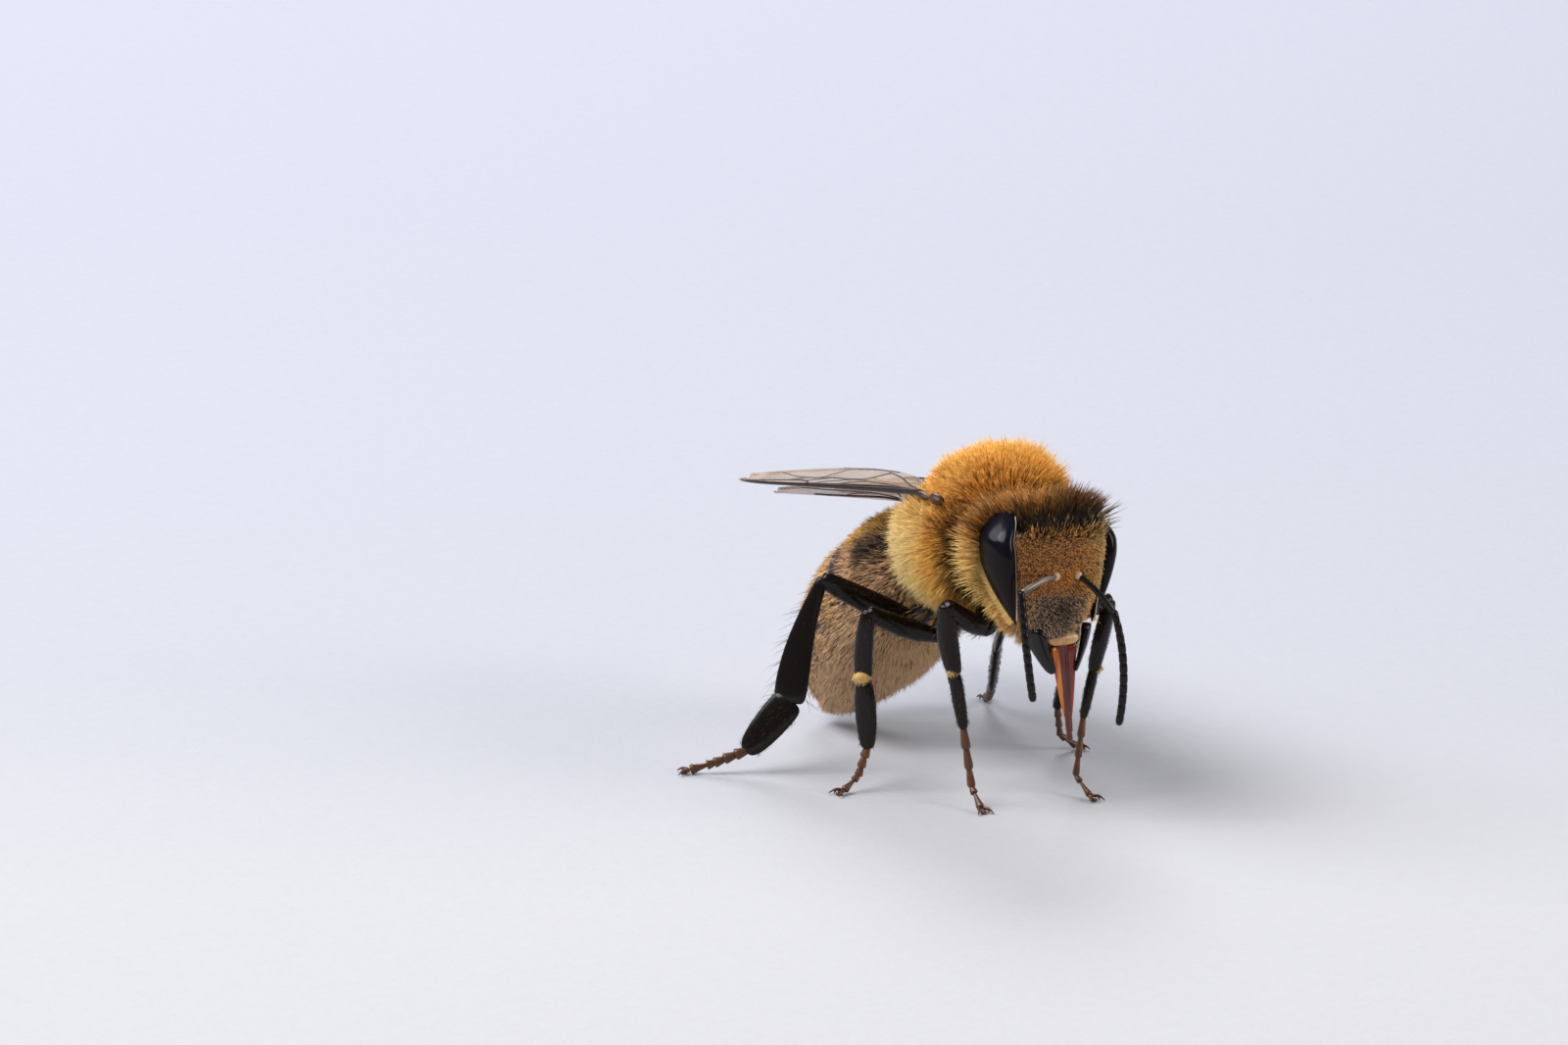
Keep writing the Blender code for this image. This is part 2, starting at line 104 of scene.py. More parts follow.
def ringTube(name, stations, around=16, flatTo=(0, 1, 0), times=0):
    # a circle is extruded from ring to ring; each ring is (middle, half width, half thickness)
    middles = [Vector(station[0]) for station in stations]
    deselectAll()
    bpy.ops.mesh.primitive_circle_add(vertices=around, radius=1, fill_type="NGON")
    piece = bpy.context.object
    piece.name = name
    bpy.ops.object.mode_set(mode="EDIT")
    bpy.ops.mesh.select_all(action="SELECT")
    before = Matrix.Identity(4)
    for index, (middle, halfWidth, halfThick) in enumerate(stations):
        ahead = middles[min(index + 1, len(middles) - 1)] - middles[max(index - 1, 0)]
        place = ringPlace(Vector(middle), ahead, flatTo, halfWidth, halfThick)
        if index:
            bpy.ops.mesh.extrude_region_move()
        mesh = bmesh.from_edit_mesh(piece.data)
        bmesh.ops.transform(mesh, matrix=place @ before.inverted(),
                            verts=[vert for vert in mesh.verts if vert.select])
        before = place
    bpy.ops.mesh.select_all(action="SELECT")
    bpy.ops.mesh.normals_make_consistent(inside=False)
    bpy.ops.object.mode_set(mode="OBJECT")
    if times:
        subdivide(piece, times)
    return piece


def bead(name, middle, radii, turn=(0, 0, 0), segments=24, rings=14):
    deselectAll()
    bpy.ops.mesh.primitive_uv_sphere_add(segments=segments, ring_count=rings, radius=1,
                                         location=middle,
                                         rotation=[math.radians(angle) for angle in turn])
    piece = bpy.context.object
    piece.name = name
    piece.scale = radii
    bpy.ops.object.transform_apply(location=True, rotation=True, scale=True)
    return piece


def pointsOf(piece):
    places = np.empty(len(piece.data.vertices) * 3)
    piece.data.vertices.foreach_get("co", places)
    return places.reshape(-1, 3)


def turnFacesOut(piece, mergeWithin=None):
    pick(piece)
    bpy.ops.object.mode_set(mode="EDIT")
    bpy.ops.mesh.select_all(action="SELECT")
    if mergeWithin:
        bpy.ops.mesh.remove_doubles(threshold=mergeWithin)
    bpy.ops.mesh.normals_make_consistent(inside=False)
    bpy.ops.object.mode_set(mode="OBJECT")


def joined(pieces, name):
    deselectAll()
    for piece in pieces:
        piece.select_set(True)
    bpy.context.view_layer.objects.active = pieces[0]
    bpy.ops.object.join()
    whole = bpy.context.object
    whole.name = name
    return whole


def settle(piece, material, nodes=(), angle=50):
    # life size, in the bee's place, with the place in the mesh
    piece.data.transform(toFrame @ piece.matrix_world)
    piece.matrix_world = Matrix.Identity(4)
    piece.data.materials.clear()
    piece.data.materials.append(material)
    piece.data.name = piece.name
    pick(piece)
    if angle:
        bpy.ops.object.shade_smooth_by_angle(angle=math.radians(angle))
    else:
        bpy.ops.object.shade_smooth()
    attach(piece, "root")
    if nodes:
        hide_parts(*nodes)
    return piece


socketNames = {
    "roughness": "Roughness", "specular": "Specular IOR Level", "alpha": "Alpha",
    "coat": "Coat Weight", "coatRoughness": "Coat Roughness", "sheen": "Sheen Weight",
    "sheenRoughness": "Sheen Roughness", "sheenTint": "Sheen Tint",
    "film": "Thin Film Thickness",
}


def newMaterial(name, **settings):
    material = bpy.data.materials.new(name)
    material.use_nodes = True
    shader = material.node_tree.nodes["Principled BSDF"]
    for key, value in settings.items():
        if isinstance(value, tuple):
            value = (*value, 1)
        shader.inputs[socketNames[key]].default_value = value
    return material, material.node_tree, shader


def addNode(tree, kind, **settings):
    node = tree.nodes.new(kind)
    for key, value in settings.items():
        if key in node.inputs:
            node.inputs[key].default_value = value
        else:
            setattr(node, key, value)
    return node


def placeNode(tree, stretch=(1, 1, 1), turn=(0, 0, 0)):
    # Object coordinates, turned to millimetres
    coordinates = addNode(tree, "ShaderNodeTexCoord")
    mapping = addNode(tree, "ShaderNodeMapping")
    mapping.inputs["Scale"].default_value = [1000 * value for value in stretch]
    mapping.inputs["Rotation"].default_value = [math.radians(angle) for angle in turn]
    tree.links.new(coordinates.outputs["Object"], mapping.inputs["Vector"])
    return mapping.outputs["Vector"]


def noise(tree, scale, detail=4, roughness=0.6, stretch=(1, 1, 1)):
    texture = addNode(tree, "ShaderNodeTexNoise", Scale=scale, Detail=detail, Roughness=roughness)
    tree.links.new(placeNode(tree, stretch), texture.inputs["Vector"])
    return texture.outputs["Fac"]


def ramp(tree, source, stops):
    node = addNode(tree, "ShaderNodeValToRGB")
    elements = node.color_ramp.elements
    while len(elements) < len(stops):
        elements.new(0.5)
    for element, (place, colour) in zip(elements, stops):
        element.position = place
        element.color = (*colour, 1)
    tree.links.new(source, node.inputs["Fac"])
    return node.outputs["Color"]


def rampAlong(tree, axis, low, high, stops, turn=(0, 0, 0)):
    # colours laid along an axis, between two places in millimetres
    place = addNode(tree, "ShaderNodeSeparateXYZ")
    tree.links.new(placeNode(tree, turn=turn), place.inputs["Vector"])
    share = addNode(tree, "ShaderNodeMapRange")
    share.inputs["From Min"].default_value = low
    share.inputs["From Max"].default_value = high
    tree.links.new(place.outputs[axis], share.inputs["Value"])
    return ramp(tree, share.outputs["Result"], stops)


def multiplied(tree, first, second):
    node = addNode(tree, "ShaderNodeMix", data_type="RGBA", blend_type="MULTIPLY")
    node.inputs[0].default_value = 1.0
    tree.links.new(first, node.inputs[6])
    tree.links.new(second, node.inputs[7])
    return node.outputs[2]


def tones(low, high):
    return ((0.3, low), (0.7, high))


def grey(low, high):
    return tones((low,) * 3, (high,) * 3)


def bump(tree, shader, height, depth, strength):
    # depth in millimetres
    node = addNode(tree, "ShaderNodeBump", Strength=strength, Distance=depth * 0.001)
    tree.links.new(height, node.inputs["Height"])
    tree.links.new(node.outputs["Normal"], shader.inputs["Normal"])


def addPits(tree, shader, scale, depth, strength, evenness=None):
    # fine rounded pits, depth in millimetres
    pits = addNode(tree, "ShaderNodeTexVoronoi", Scale=scale)
    if evenness is not None:
        pits.inputs["Randomness"].default_value = 1 - evenness
    tree.links.new(placeNode(tree), pits.inputs["Vector"])
    bump(tree, shader, pits.outputs["Distance"], depth, strength)


def markingColour(tree):
    return addNode(tree, "ShaderNodeAttribute", attribute_name="marking",
                   attribute_type="GEOMETRY").outputs["Color"]


def colourFromMarkings(tree, shader, shade):
    tree.links.new(multiplied(tree, markingColour(tree), shade), shader.inputs["Base Color"])


def makeSkinFinish():
    # shell under the coat: nearly black, in fine pits, with a faint tint of the coat's markings
    material, tree, shader = newMaterial("skinShell", roughness=0.42, specular=0.45)
    dirt = ramp(tree, noise(tree, 9), ((0.35, (0.55, 0.5, 0.45)), (0.7, (1, 1, 1))))
    colourFromMarkings(tree, shader, dirt)
    addPits(tree, shader, 22, 0.02, 0.7)
    return material


def makeCoatFinish(name, sheen):
    # hair: its colour runs from root to tip and from tuft to tuft in the marking attribute, with
    # painted shade at the roots and painted light at the tips
    material, tree, shader = newMaterial(name, roughness=0.5, specular=0.1, sheen=sheen,
                                         sheenRoughness=0.35, sheenTint=(1.0, 0.82, 0.5))
    colourFromMarkings(tree, shader, ramp(tree, noise(tree, 30, 2), grey(0.8, 1)))
    return material


def makeEyeFinish():
    # black glossy lens field; its upper part is painted with a blue-violet sheen, as of light
    # reflected there
    material, tree, shader = newMaterial("compoundLens", roughness=0.4, specular=0.02, coat=0.28,
                                         coatRoughness=0.16)
    # brown-black below; the blue-violet above is a painted sheen
    tintAndPaintedSheen = rampAlong(tree, "Z", 5.6, 8.1, ((0.0, (0.012, 0.004, 0.0015)),
                                           (0.45, (0.005, 0.002, 0.0015)),
                                           (0.8, (0.006, 0.005, 0.011)),
                                           (1.0, (0.004, 0.003, 0.006))))
    cloud = ramp(tree, noise(tree, 3), grey(0.5, 1))
    tree.links.new(multiplied(tree, tintAndPaintedSheen, cloud), shader.inputs["Base Color"])
    addPits(tree, shader, 34, 0.006, 0.45, evenness=0.85)
    return material


# hard shells, dark with warmer patches: dark and warm colour, share of the dark one,
# roughness, and strength of the clear coat and of the shine under it
shells = {
    "blackShell": ((0.007, 0.004, 0.003), (0.06, 0.021, 0.008), 0.65, 0.2, 0.14, 0.16),
    "tarsusShell": ((0.09, 0.03, 0.01), (0.28, 0.1, 0.025), 0.5, 0.35, 0.2, 0.4),
    "jawShell": ((0.003, 0.002, 0.002), (0.05, 0.016, 0.006), 0.75, 0.2, 0.35, 0.2),
    # painted highlight: the same dark shell as the scape below, painted pale as where light falls
    # on it
    "paintedLitScape": ((0.03, 0.02, 0.014), (0.62, 0.5, 0.38), 0.4, 0.22, 0.5, 0.4),
    "darkScape": ((0.004, 0.003, 0.002), (0.06, 0.02, 0.008), 0.65, 0.24, 0.25, 0.25),
    "labrumShell": ((0.4, 0.13, 0.02), (1.0, 0.72, 0.36), 0.36, 0.3, 0.4, 0.4),
    # painted highlight: the eye's rim is painted pale, as lit along its edge
    "paintedHighlightRim": ((0.42, 0.35, 0.28), (0.75, 0.65, 0.52), 0.4, 0.3, 0.3, 0.4),
    "socketKnob": ((0.55, 0.38, 0.2), (0.75, 0.62, 0.42), 0.65, 0.25, 0.5, 0.4),
    "paleJoint": ((0.7, 0.42, 0.12), (0.8, 0.6, 0.3), 0.65, 0.5, 0.1, 0.4),
    "wingVein": ((0.016, 0.008, 0.005), (0.07, 0.034, 0.016), 0.65, 0.35, 0.15, 0.25),
    "tegulaShell": ((0.03, 0.012, 0.006), (0.16, 0.06, 0.02), 0.45, 0.4, 0.08, 0.2),
}


def makeShellFinish(name):
    dark, warm, share, roughness, coat, specular = shells[name]
    material, tree, shader = newMaterial(name, specular=specular, coat=coat, coatRoughness=0.12)
    tree.links.new(ramp(tree, noise(tree, 1.6, 5), ((0.35, dark), (share, dark), (0.92, warm))),
                   shader.inputs["Base Color"])
    tree.links.new(ramp(tree, noise(tree, 7), grey(roughness * 0.75, roughness * 1.35)),
                   shader.inputs["Roughness"])
    addPits(tree, shader, 30, 0.004, 0.25)
    return material


def makePlateFinish():
    # abdomen plates: amber near the waist, black-brown behind, from the marking attribute
    material, tree, shader = newMaterial("abdomenShell", specular=0.5, coat=0.25,
                                         coatRoughness=0.25)
    streaks = ramp(tree, noise(tree, 5, 5), tones((0.62, 0.58, 0.55), (1, 1, 1)))
    colourFromMarkings(tree, shader, streaks)
    tree.links.new(ramp(tree, noise(tree, 9), grey(0.28, 0.5)), shader.inputs["Roughness"])
    addPits(tree, shader, 18, 0.012, 0.6)
    return material


# the shells of the tongue and of the two halves of its sheath: deep and bright colour
tongueShells = {
    "amberGalea": ((0.3, 0.03, 0.003), (0.75, 0.22, 0.012)),
    "redGalea": ((0.09, 0.004, 0.001), (0.42, 0.035, 0.003)),
    "tongueShell": ((0.03, 0.003, 0.002), (0.16, 0.012, 0.003)),
}


def makeTongueFinish(name):
    deep, bright = tongueShells[name]
    material, tree, shader = newMaterial(name, specular=0.4, coat=0.4, coatRoughness=0.08)
    streaks = noise(tree, 3.5, 4, 0.6, (1, 1, 0.16))
    tree.links.new(ramp(tree, streaks, ((0.3, deep), (0.55, bright), (0.75, deep))),
                   shader.inputs["Base Color"])
    tree.links.new(ramp(tree, noise(tree, 9), grey(0.14, 0.3)), shader.inputs["Roughness"])
    bump(tree, shader, noise(tree, 14, 3, 0.5, (1, 1, 0.3)), 0.012, 0.6)
    return material


def makeWingFinish():
    # clear film with a smoky brown tint, wrinkled, and a little iridescent
    material, tree, shader = newMaterial("wingMembrane", roughness=0.24, specular=0.6,
                                         alpha=0.4, film=380.0)
    smoke = ramp(tree, noise(tree, 1.1), tones((0.28, 0.165, 0.08), (0.62, 0.43, 0.26)))
    tree.links.new(smoke, shader.inputs["Base Color"])
    bump(tree, shader, noise(tree, 6, 5, 0.6, (1, 0.35, 1)), 0.03, 0.7)
    return material


def makeFloorFinish():
    # pale sheet with a very fine nap, with painted shade: darker and a touch bluer away from the
    # bee
    material, tree, shader = newMaterial("paleSheet", roughness=0.85, specular=0.25)
    shade = rampAlong(tree, "Y", -12, 60, ((0.0, (0.50, 0.495, 0.505)),
                                           (0.25, (0.455, 0.455, 0.49)),
                                           (1.0, (0.43, 0.435, 0.49))), turn=(0, 0, 28))
    nap = ramp(tree, noise(tree, 2.2, 6, 0.7), tones((0.965, 0.965, 0.97), (1, 1, 1)))
    tree.links.new(multiplied(tree, shade, nap), shader.inputs["Base Color"])
    bump(tree, shader, noise(tree, 3.2, 5, 0.65), 0.06, 0.35)
    return material


# The forms of thorax, head and abdomen are smooth surfaces. Each takes arrays of u (round the
# form) and v (from one end to the other), both 0 to 1.

thoraxForm = {
    "middle": (0, -0.02, 6.44),
    "radii": (1.84, 1.68, 2.02),
    "fullness": 2.9,
    "crestStart": 0.5,     # above this height over its middle the thorax slopes forwards
    "crestSlope": 0.58,
    "narrowing": 0.34,     # it is narrower above the wings, from here to here over its middle
    "narrowFrom": (0.4, 1.2),
    "shouldered": 0.54,    # and squarer across its top, without a ridge along the middle
    "squareFrom": (0.1, 0.8),
    "softness": 0.05,
}


def thoraxSurface(u, v):
    x, y, z = thoraxForm["middle"]
    rx, ry, rz = thoraxForm["radii"]
    lengthwise = -np.cos(np.pi * v)
    share = (1 - np.abs(lengthwise) ** thoraxForm["fullness"]) ** (1 / thoraxForm["fullness"])
    angle = 2 * np.pi * u
    rise = rz * share * np.sin(angle)
    forward = thoraxForm["crestSlope"] * np.maximum(rise - thoraxForm["crestStart"], 0)
    narrow = 1 - thoraxForm["narrowing"] * smoothStep(*thoraxForm["narrowFrom"], rise)
    squarer = 1 - thoraxForm["shouldered"] * smoothStep(*thoraxForm["squareFrom"], np.sin(angle))
    soft = thoraxForm["softness"]
    across = np.sign(np.cos(angle)) * ((np.abs(np.cos(angle)) + soft) ** squarer - soft ** squarer)
    across = across / ((1 + soft) ** squarer - soft ** squarer)
    return np.stack((x + rx * share * narrow * across, y + ry * lengthwise - forward,
                     z + rise), -1)


headForm = {
    "x": 0.0, "y": -3.36,
    "bottom": 4.74, "top": 7.62,
    # share of the height from mouth to crown, half width, half depth
    "outline": ((0.0, 0.4, 0.42), (0.06, 0.68, 0.56), (0.16, 0.96, 0.66), (0.3, 1.18, 0.72),
                (0.45, 1.4, 0.76), (0.6, 1.5, 0.8), (0.74, 1.54, 0.8), (0.86, 1.5, 0.75),
                (0.94, 1.36, 0.64), (0.982, 1.02, 0.46), (0.995, 0.6, 0.24),
                (1.0, 0.05, 0.03)),
    "flatness": 2.6,
    "lean": -0.16,
    "tilt": 4.0,               # degrees that the head drops to the bee's left
    "pivot": (-0.03, -3.4, 6.4),
    "shift": (-0.1, 0, 0),
}
headTurn = (Matrix.Translation(Vector(headForm["pivot"]) + Vector(headForm["shift"]))
            @ Matrix.Rotation(math.radians(headForm["tilt"]), 4, "Y")
            @ Matrix.Translation(-Vector(headForm["pivot"])))


def tilted(points, turn=headTurn):
    return points @ np.array(turn)[:3, :3].T + np.array(turn)[:3, 3]


def tiltedWay(vectors):
    return vectors @ np.array(headTurn)[:3, :3].T


def headSurface(u, v):
    width, depth = np.moveaxis(along(headForm["outline"], v), -1, 0)
    angle = 2 * np.pi * u
    power = 2 / headForm["flatness"]
    side = np.sign(np.cos(angle)) * np.abs(np.cos(angle)) ** power
    front = np.sign(np.sin(angle)) * np.abs(np.sin(angle)) ** power
    height = headForm["bottom"] + (headForm["top"] - headForm["bottom"]) * v
    lean = headForm["lean"] * (1 - v) ** 2
    return np.stack((headForm["x"] + width * side, headForm["y"] + lean + depth * front, height),
                    -1)


abdomenForm = {
    "root": (0.0, 2.2, 5.5),
    "length": 6.65,
    "surface": (0.25, 0.27),     # its surface starts here, and is shorter than the axis by this
    "bend": 17.0,                # degrees that it turns to the bee's right
    "droop": (35.0, 69.0),       # degrees below level at its root and its tip
    "cuts": (0.28, 1.35, 2.5, 3.6, 4.7, 5.7, 6.62),
    "halfWidth": ((0.0, 0.4), (0.28, 0.82), (0.7, 1.32), (1.35, 1.68), (2.5, 1.88), (3.6, 1.82),
                  (4.7, 1.48), (5.7, 0.94), (6.25, 0.54), (6.62, 0.16)),
    "flatness": 0.95,
}


def abdomenAxis(distance):
    # middle, direction, side and upward vectors of the curved axis
    form = abdomenForm
    bend = math.radians(form["bend"])
    steps = 24
    distance = np.asarray(distance, float)
    point = np.zeros(distance.shape + (3,)) + np.array(form["root"])
    for step in range(steps):
        share = (step + 0.5) / steps * distance / form["length"]
        droop = np.radians(form["droop"][0] + (form["droop"][1] - form["droop"][0]) * share)
        level = np.cos(droop) * distance / steps
        point = point + np.stack((-math.sin(bend) * level, math.cos(bend) * level,
                                  -np.sin(droop) * distance / steps), -1)
    droop = np.radians(form["droop"][0]
                       + (form["droop"][1] - form["droop"][0]) * distance / form["length"])
    ahead = np.stack((-math.sin(bend) * np.cos(droop), math.cos(bend) * np.cos(droop),
                      -np.sin(droop)), -1)
    across = np.stack((np.full_like(droop, math.cos(bend)), np.full_like(droop, math.sin(bend)),
                       np.zeros_like(droop)), -1)
    upward = np.cross(across, ahead)
    return point, ahead, across, upward


def abdomenDistance(v):
    start, shorter = abdomenForm["surface"]
    return start + (abdomenForm["length"] - shorter) * v


def abdomenSurface(u, v):
    distance = abdomenDistance(v)
    point, _, across, upward = abdomenAxis(distance)
    width = along(abdomenForm["halfWidth"], distance)[..., 0]
    angle = 2 * np.pi * u
    return (point + across * (width * np.cos(angle))[..., None]
            + upward * (width * abdomenForm["flatness"] * np.sin(angle))[..., None])


def tubeSurface(stations, flatTo=(0, 1, 0)):
    # the same kind of function for a piece that ringTube makes
    middles = np.array([station[0] for station in stations], float)
    steps = np.linalg.norm(np.diff(middles, axis=0), axis=1)
    reach = np.concatenate(([0], np.cumsum(steps)))
    table = [(at, *middle, station[1], station[2])
             for at, middle, station in zip(reach / reach[-1], middles, stations)]
    flat = np.array(flatTo, float)

    def surface(u, v):
        rows = along(table, v)
        ahead = along(table, np.minimum(v + 0.01, 1))[..., :3] - along(
            table, np.maximum(v - 0.01, 0))[..., :3]
        ahead /= np.linalg.norm(ahead, axis=-1, keepdims=True)
        across = np.cross(ahead, flat)
        across /= np.linalg.norm(across, axis=-1, keepdims=True)
        through = np.cross(across, ahead)
        angle = 2 * np.pi * u
        return (rows[..., :3] + across * (rows[..., 3] * np.cos(angle))[..., None]
                + through * (rows[..., 4] * np.sin(angle))[..., None])
    return surface


markings = {
    "shellDark": (0.010, 0.007, 0.006),
    "shellAmber": (0.24, 0.085, 0.014),
    "gold": (1.0, 0.49, 0.075),
    "paleGold": (1.0, 0.57, 0.12),
    "cream": (1.0, 0.77, 0.34),
    "umber": (0.30, 0.105, 0.016),
    "dark": (0.022, 0.012, 0.008),
    "grey": (0.95, 0.63, 0.39),
    "silver": (0.56, 0.41, 0.30),
    "tan": (1.0, 0.45, 0.14),
    "socketHair": (2.4, 0.96, 0.07),
    "socketShell": (0.46, 0.17, 0.025),
}


def blend(first, second, share):
    return first + (second - first) * np.asarray(share)[..., None]


def tone(name, strength=1):
    return np.array(markings[name]) * strength


# Places and distances in the markings below are millimetres in the bee's own frame.
def thoraxShadow(point):
    # painted shadow: the coat is painted dark, and grows thin, on the flanks beside the neck,
    # where the gap to the head lies in shade
    x, y, z = np.moveaxis(point, -1, 0)
    return (smoothStep(-0.8, -1.3, y) * smoothStep(0.5, 1.0, np.abs(x)) * smoothStep(4.8, 5.4, z)
            * smoothStep(7.6, 6.9, z))


def paleAndPaintedLitBand(point):
    # a broad pale band runs down each flank, in front of the waist: pale hair, painted brighter
    # still as light shines through it from behind
    return smoothStep(-0.8, 0.1, point[..., 1]) * smoothStep(7.4, 6.6, point[..., 2])


def thoraxMarking(point):
    y, z = point[..., 1], point[..., 2]
    colour = blend(tone("gold"), tone("umber"), 0.1 + 0.22 * smoothStep(7.2, 7.9, z)) * 1.08
    # browner over the shoulders, paler down the sides
    colour = blend(colour, tone("umber"), smoothStep(6.4, 7.0, z)
                   * smoothStep(8.1, 7.6, z) * smoothStep(0.3, -0.9, y) * 0.8)
    colour = blend(colour, tone("paleGold", 1.3), smoothStep(6.7, 5.4, z) * 0.8)
    # painted shadow in the gap beside the neck
    colour = blend(colour, tone("dark", 2), thoraxShadow(point) * 0.9)
    # the pale band, with painted light on it
    return blend(colour, tone("cream", 1.7), paleAndPaintedLitBand(point) * 0.92)


def headMarking(point):
    x, y, z = np.moveaxis(point, -1, 0)
    colour = blend(tone("tan"), tone("umber"), 0.4 * smoothStep(6.9, 7.4, z)) * 1.8
    colour = blend(colour, tone("cream", 2), smoothStep(0.95, 1.2, x) * 0.8
                   + smoothStep(0.3, 0.95, x) * smoothStep(1.2, 0.95, x) * 0.25)
    colour = blend(colour, tone("silver", 1.3),
                   smoothStep(6.1, 5.8, z) * smoothStep(0.98, 0.75, np.abs(x)) * 0.85)
    # dark hair on the crown, painted darker still as shade
    colour = blend(colour, tone("dark", 0.15), smoothStep(7.2, 7.5, z))
    middle = np.exp(-((x - 0.1) / 0.42) ** 2 - ((z - 5.5) / 0.5) ** 2)
    colour = blend(colour, tone("dark"), middle * 0.9)
    sockets = np.exp(-((x - 0.12) / 0.32) ** 2 - ((z - 6.36) / 0.17) ** 2)
    colour = blend(colour, tone("socketHair"), sockets * 0.9)
    behind = smoothStep(-3.5, -3.2, y)
    # the fringe is tawny over the bee's right eye, dark over the left and pale below
    fringe = blend(tone("umber", 0.65), tone("umber", 0.25), smoothStep(-0.3, 0.7, x))
    colour = blend(colour, fringe, behind)
    pale = blend(tone("paleGold"), tone("cream"), 0.5) * 1.6
    return blend(colour, pale, behind * smoothStep(7.1, 6.4, z) * 0.95)


def abdomenPlace(distance, angle):
    # share of the way along the plate, number of the plate, and how far up the side
    cuts = np.array(abdomenForm["cuts"])
    number = np.clip(np.searchsorted(cuts, distance) - 1, 0, len(cuts) - 2)
    share = (distance - cuts[number]) / (cuts[number + 1] - cuts[number])
    return share, number, np.sin(angle)


def abdomenHairMarking(distance, angle):
    share, number, rise = abdomenPlace(distance, angle)
    colour = blend(tone("umber"), tone("grey"), 0.55) * 1.4
    band = smoothStep(0.5, 0.25, share)
    pale = blend(tone("tan"), tone("cream"), 0.5)
    colour = blend(colour, pale * 1.3, band * np.where(number >= 2, 0.6, 0.1))
    belly = smoothStep(0.1, -0.35, rise)
    colour = blend(colour, tone("grey", 1.6), belly * 0.9)
    first = smoothStep(2.1, 1.5, distance)
    colour = blend(colour, tone("gold", 1.4), first * smoothStep(0.6, 0.9, rise))
    patch = smoothStep(1.75, 1.25, distance) * np.exp(-((rise - 0.5) / 0.45) ** 2)
    return blend(colour, tone("dark"), patch * 0.97)


def abdomenShellMarking(distance, angle):
    share, _, rise = abdomenPlace(distance, angle)
    amber = smoothStep(3.0, 1.7, distance) * smoothStep(0.95, 0.35, share)
    colour = blend(tone("shellDark", 1.6), tone("shellAmber"), amber * 0.85)
    return blend(colour, tone("shellAmber", 0.5), smoothStep(-0.4, -0.8, rise) * 0.5)


def scatter(surface, count, seed, cover, spanV=(0, 1), cells=220):
    # u, v, place, outward normal and lengthwise direction of points spread over a surface, as
    # thick on each part of it as cover says
    random = np.random.RandomState(seed)
    edgesU = np.linspace(0, 1, cells + 1)
    edgesV = np.linspace(*spanV, cells + 1)
    corner = surface(*np.meshgrid(edgesU, edgesV, indexing="ij"))
    stepU, stepV = corner[1:, :-1] - corner[:-1, :-1], corner[:-1, 1:] - corner[:-1, :-1]
    area = np.linalg.norm(np.cross(stepU, stepV), axis=-1)
    area = area * cover(corner[:-1, :-1], edgesU[:-1, None] + 0 * area,
                        edgesV[None, :-1] + 0 * area)
    weight = (area / area.sum()).ravel()
    chosen = random.choice(weight.size, size=count, p=weight)
    row, column = np.unravel_index(chosen, area.shape)
    u = edgesU[row] + random.rand(count) * (edgesU[1] - edgesU[0])
    v = edgesV[column] + random.rand(count) * (edgesV[1] - edgesV[0])
    return (u, v, *surfaceFrame(surface, u, v))


def surfaceFrame(surface, u, v):
    # place, outward normal and the direction in which v grows
    step = 1e-4
    place = surface(u, v)
    crosswise = surface(u + step, v) - surface(u - step, v)
    lengthwise = surface(u, np.minimum(v + step, 1)) - surface(u, np.maximum(v - step, 0))
    normal = np.cross(crosswise, lengthwise)
    inside = (place + surface((u + 0.5) % 1.0, v)) / 2
    outward = np.sign(np.sum(normal * (place - inside), axis=-1, keepdims=True))
    return place, unit(normal * outward), unit(lengthwise)


def unit(vectors):
    return vectors / np.maximum(np.linalg.norm(vectors, axis=-1, keepdims=True), 1e-9)


hairShape = {
    "levels": {1: (0.0, 0.5), 2: (0.0, 0.4, 0.78)},     # rings along a hair, by its joints
    "taper": 0.55,
    "clumpShades": (0.4, 1.5),
    # the pale colour that hair tips are painted towards, as painted light
    "paintedGlowColour": (1, 0.72, 0.26),
    "patch": 0.003,          # size of a hair's own patch in the layout of its piece
}


def clumpTips(roots, tips, clumpSize, pull, seed):
    # tips gather a little towards the tip of the nearest leading hair, whose shade they share
    random = np.random.RandomState(seed)
    leaders = random.choice(len(roots), size=max(1, len(roots) // clumpSize), replace=False)
    tree = KDTree(len(leaders))
    for index, leader in enumerate(leaders):
        tree.insert(roots[leader], index)
    tree.balance()
    nearest = np.array([tree.find(root)[1] for root in roots])
    shades = random.uniform(*hairShape["clumpShades"], len(leaders))
    tips = tips + (tips[leaders[nearest]] - tips) * pull * random.rand(len(roots), 1)
    return tips, shades[nearest]


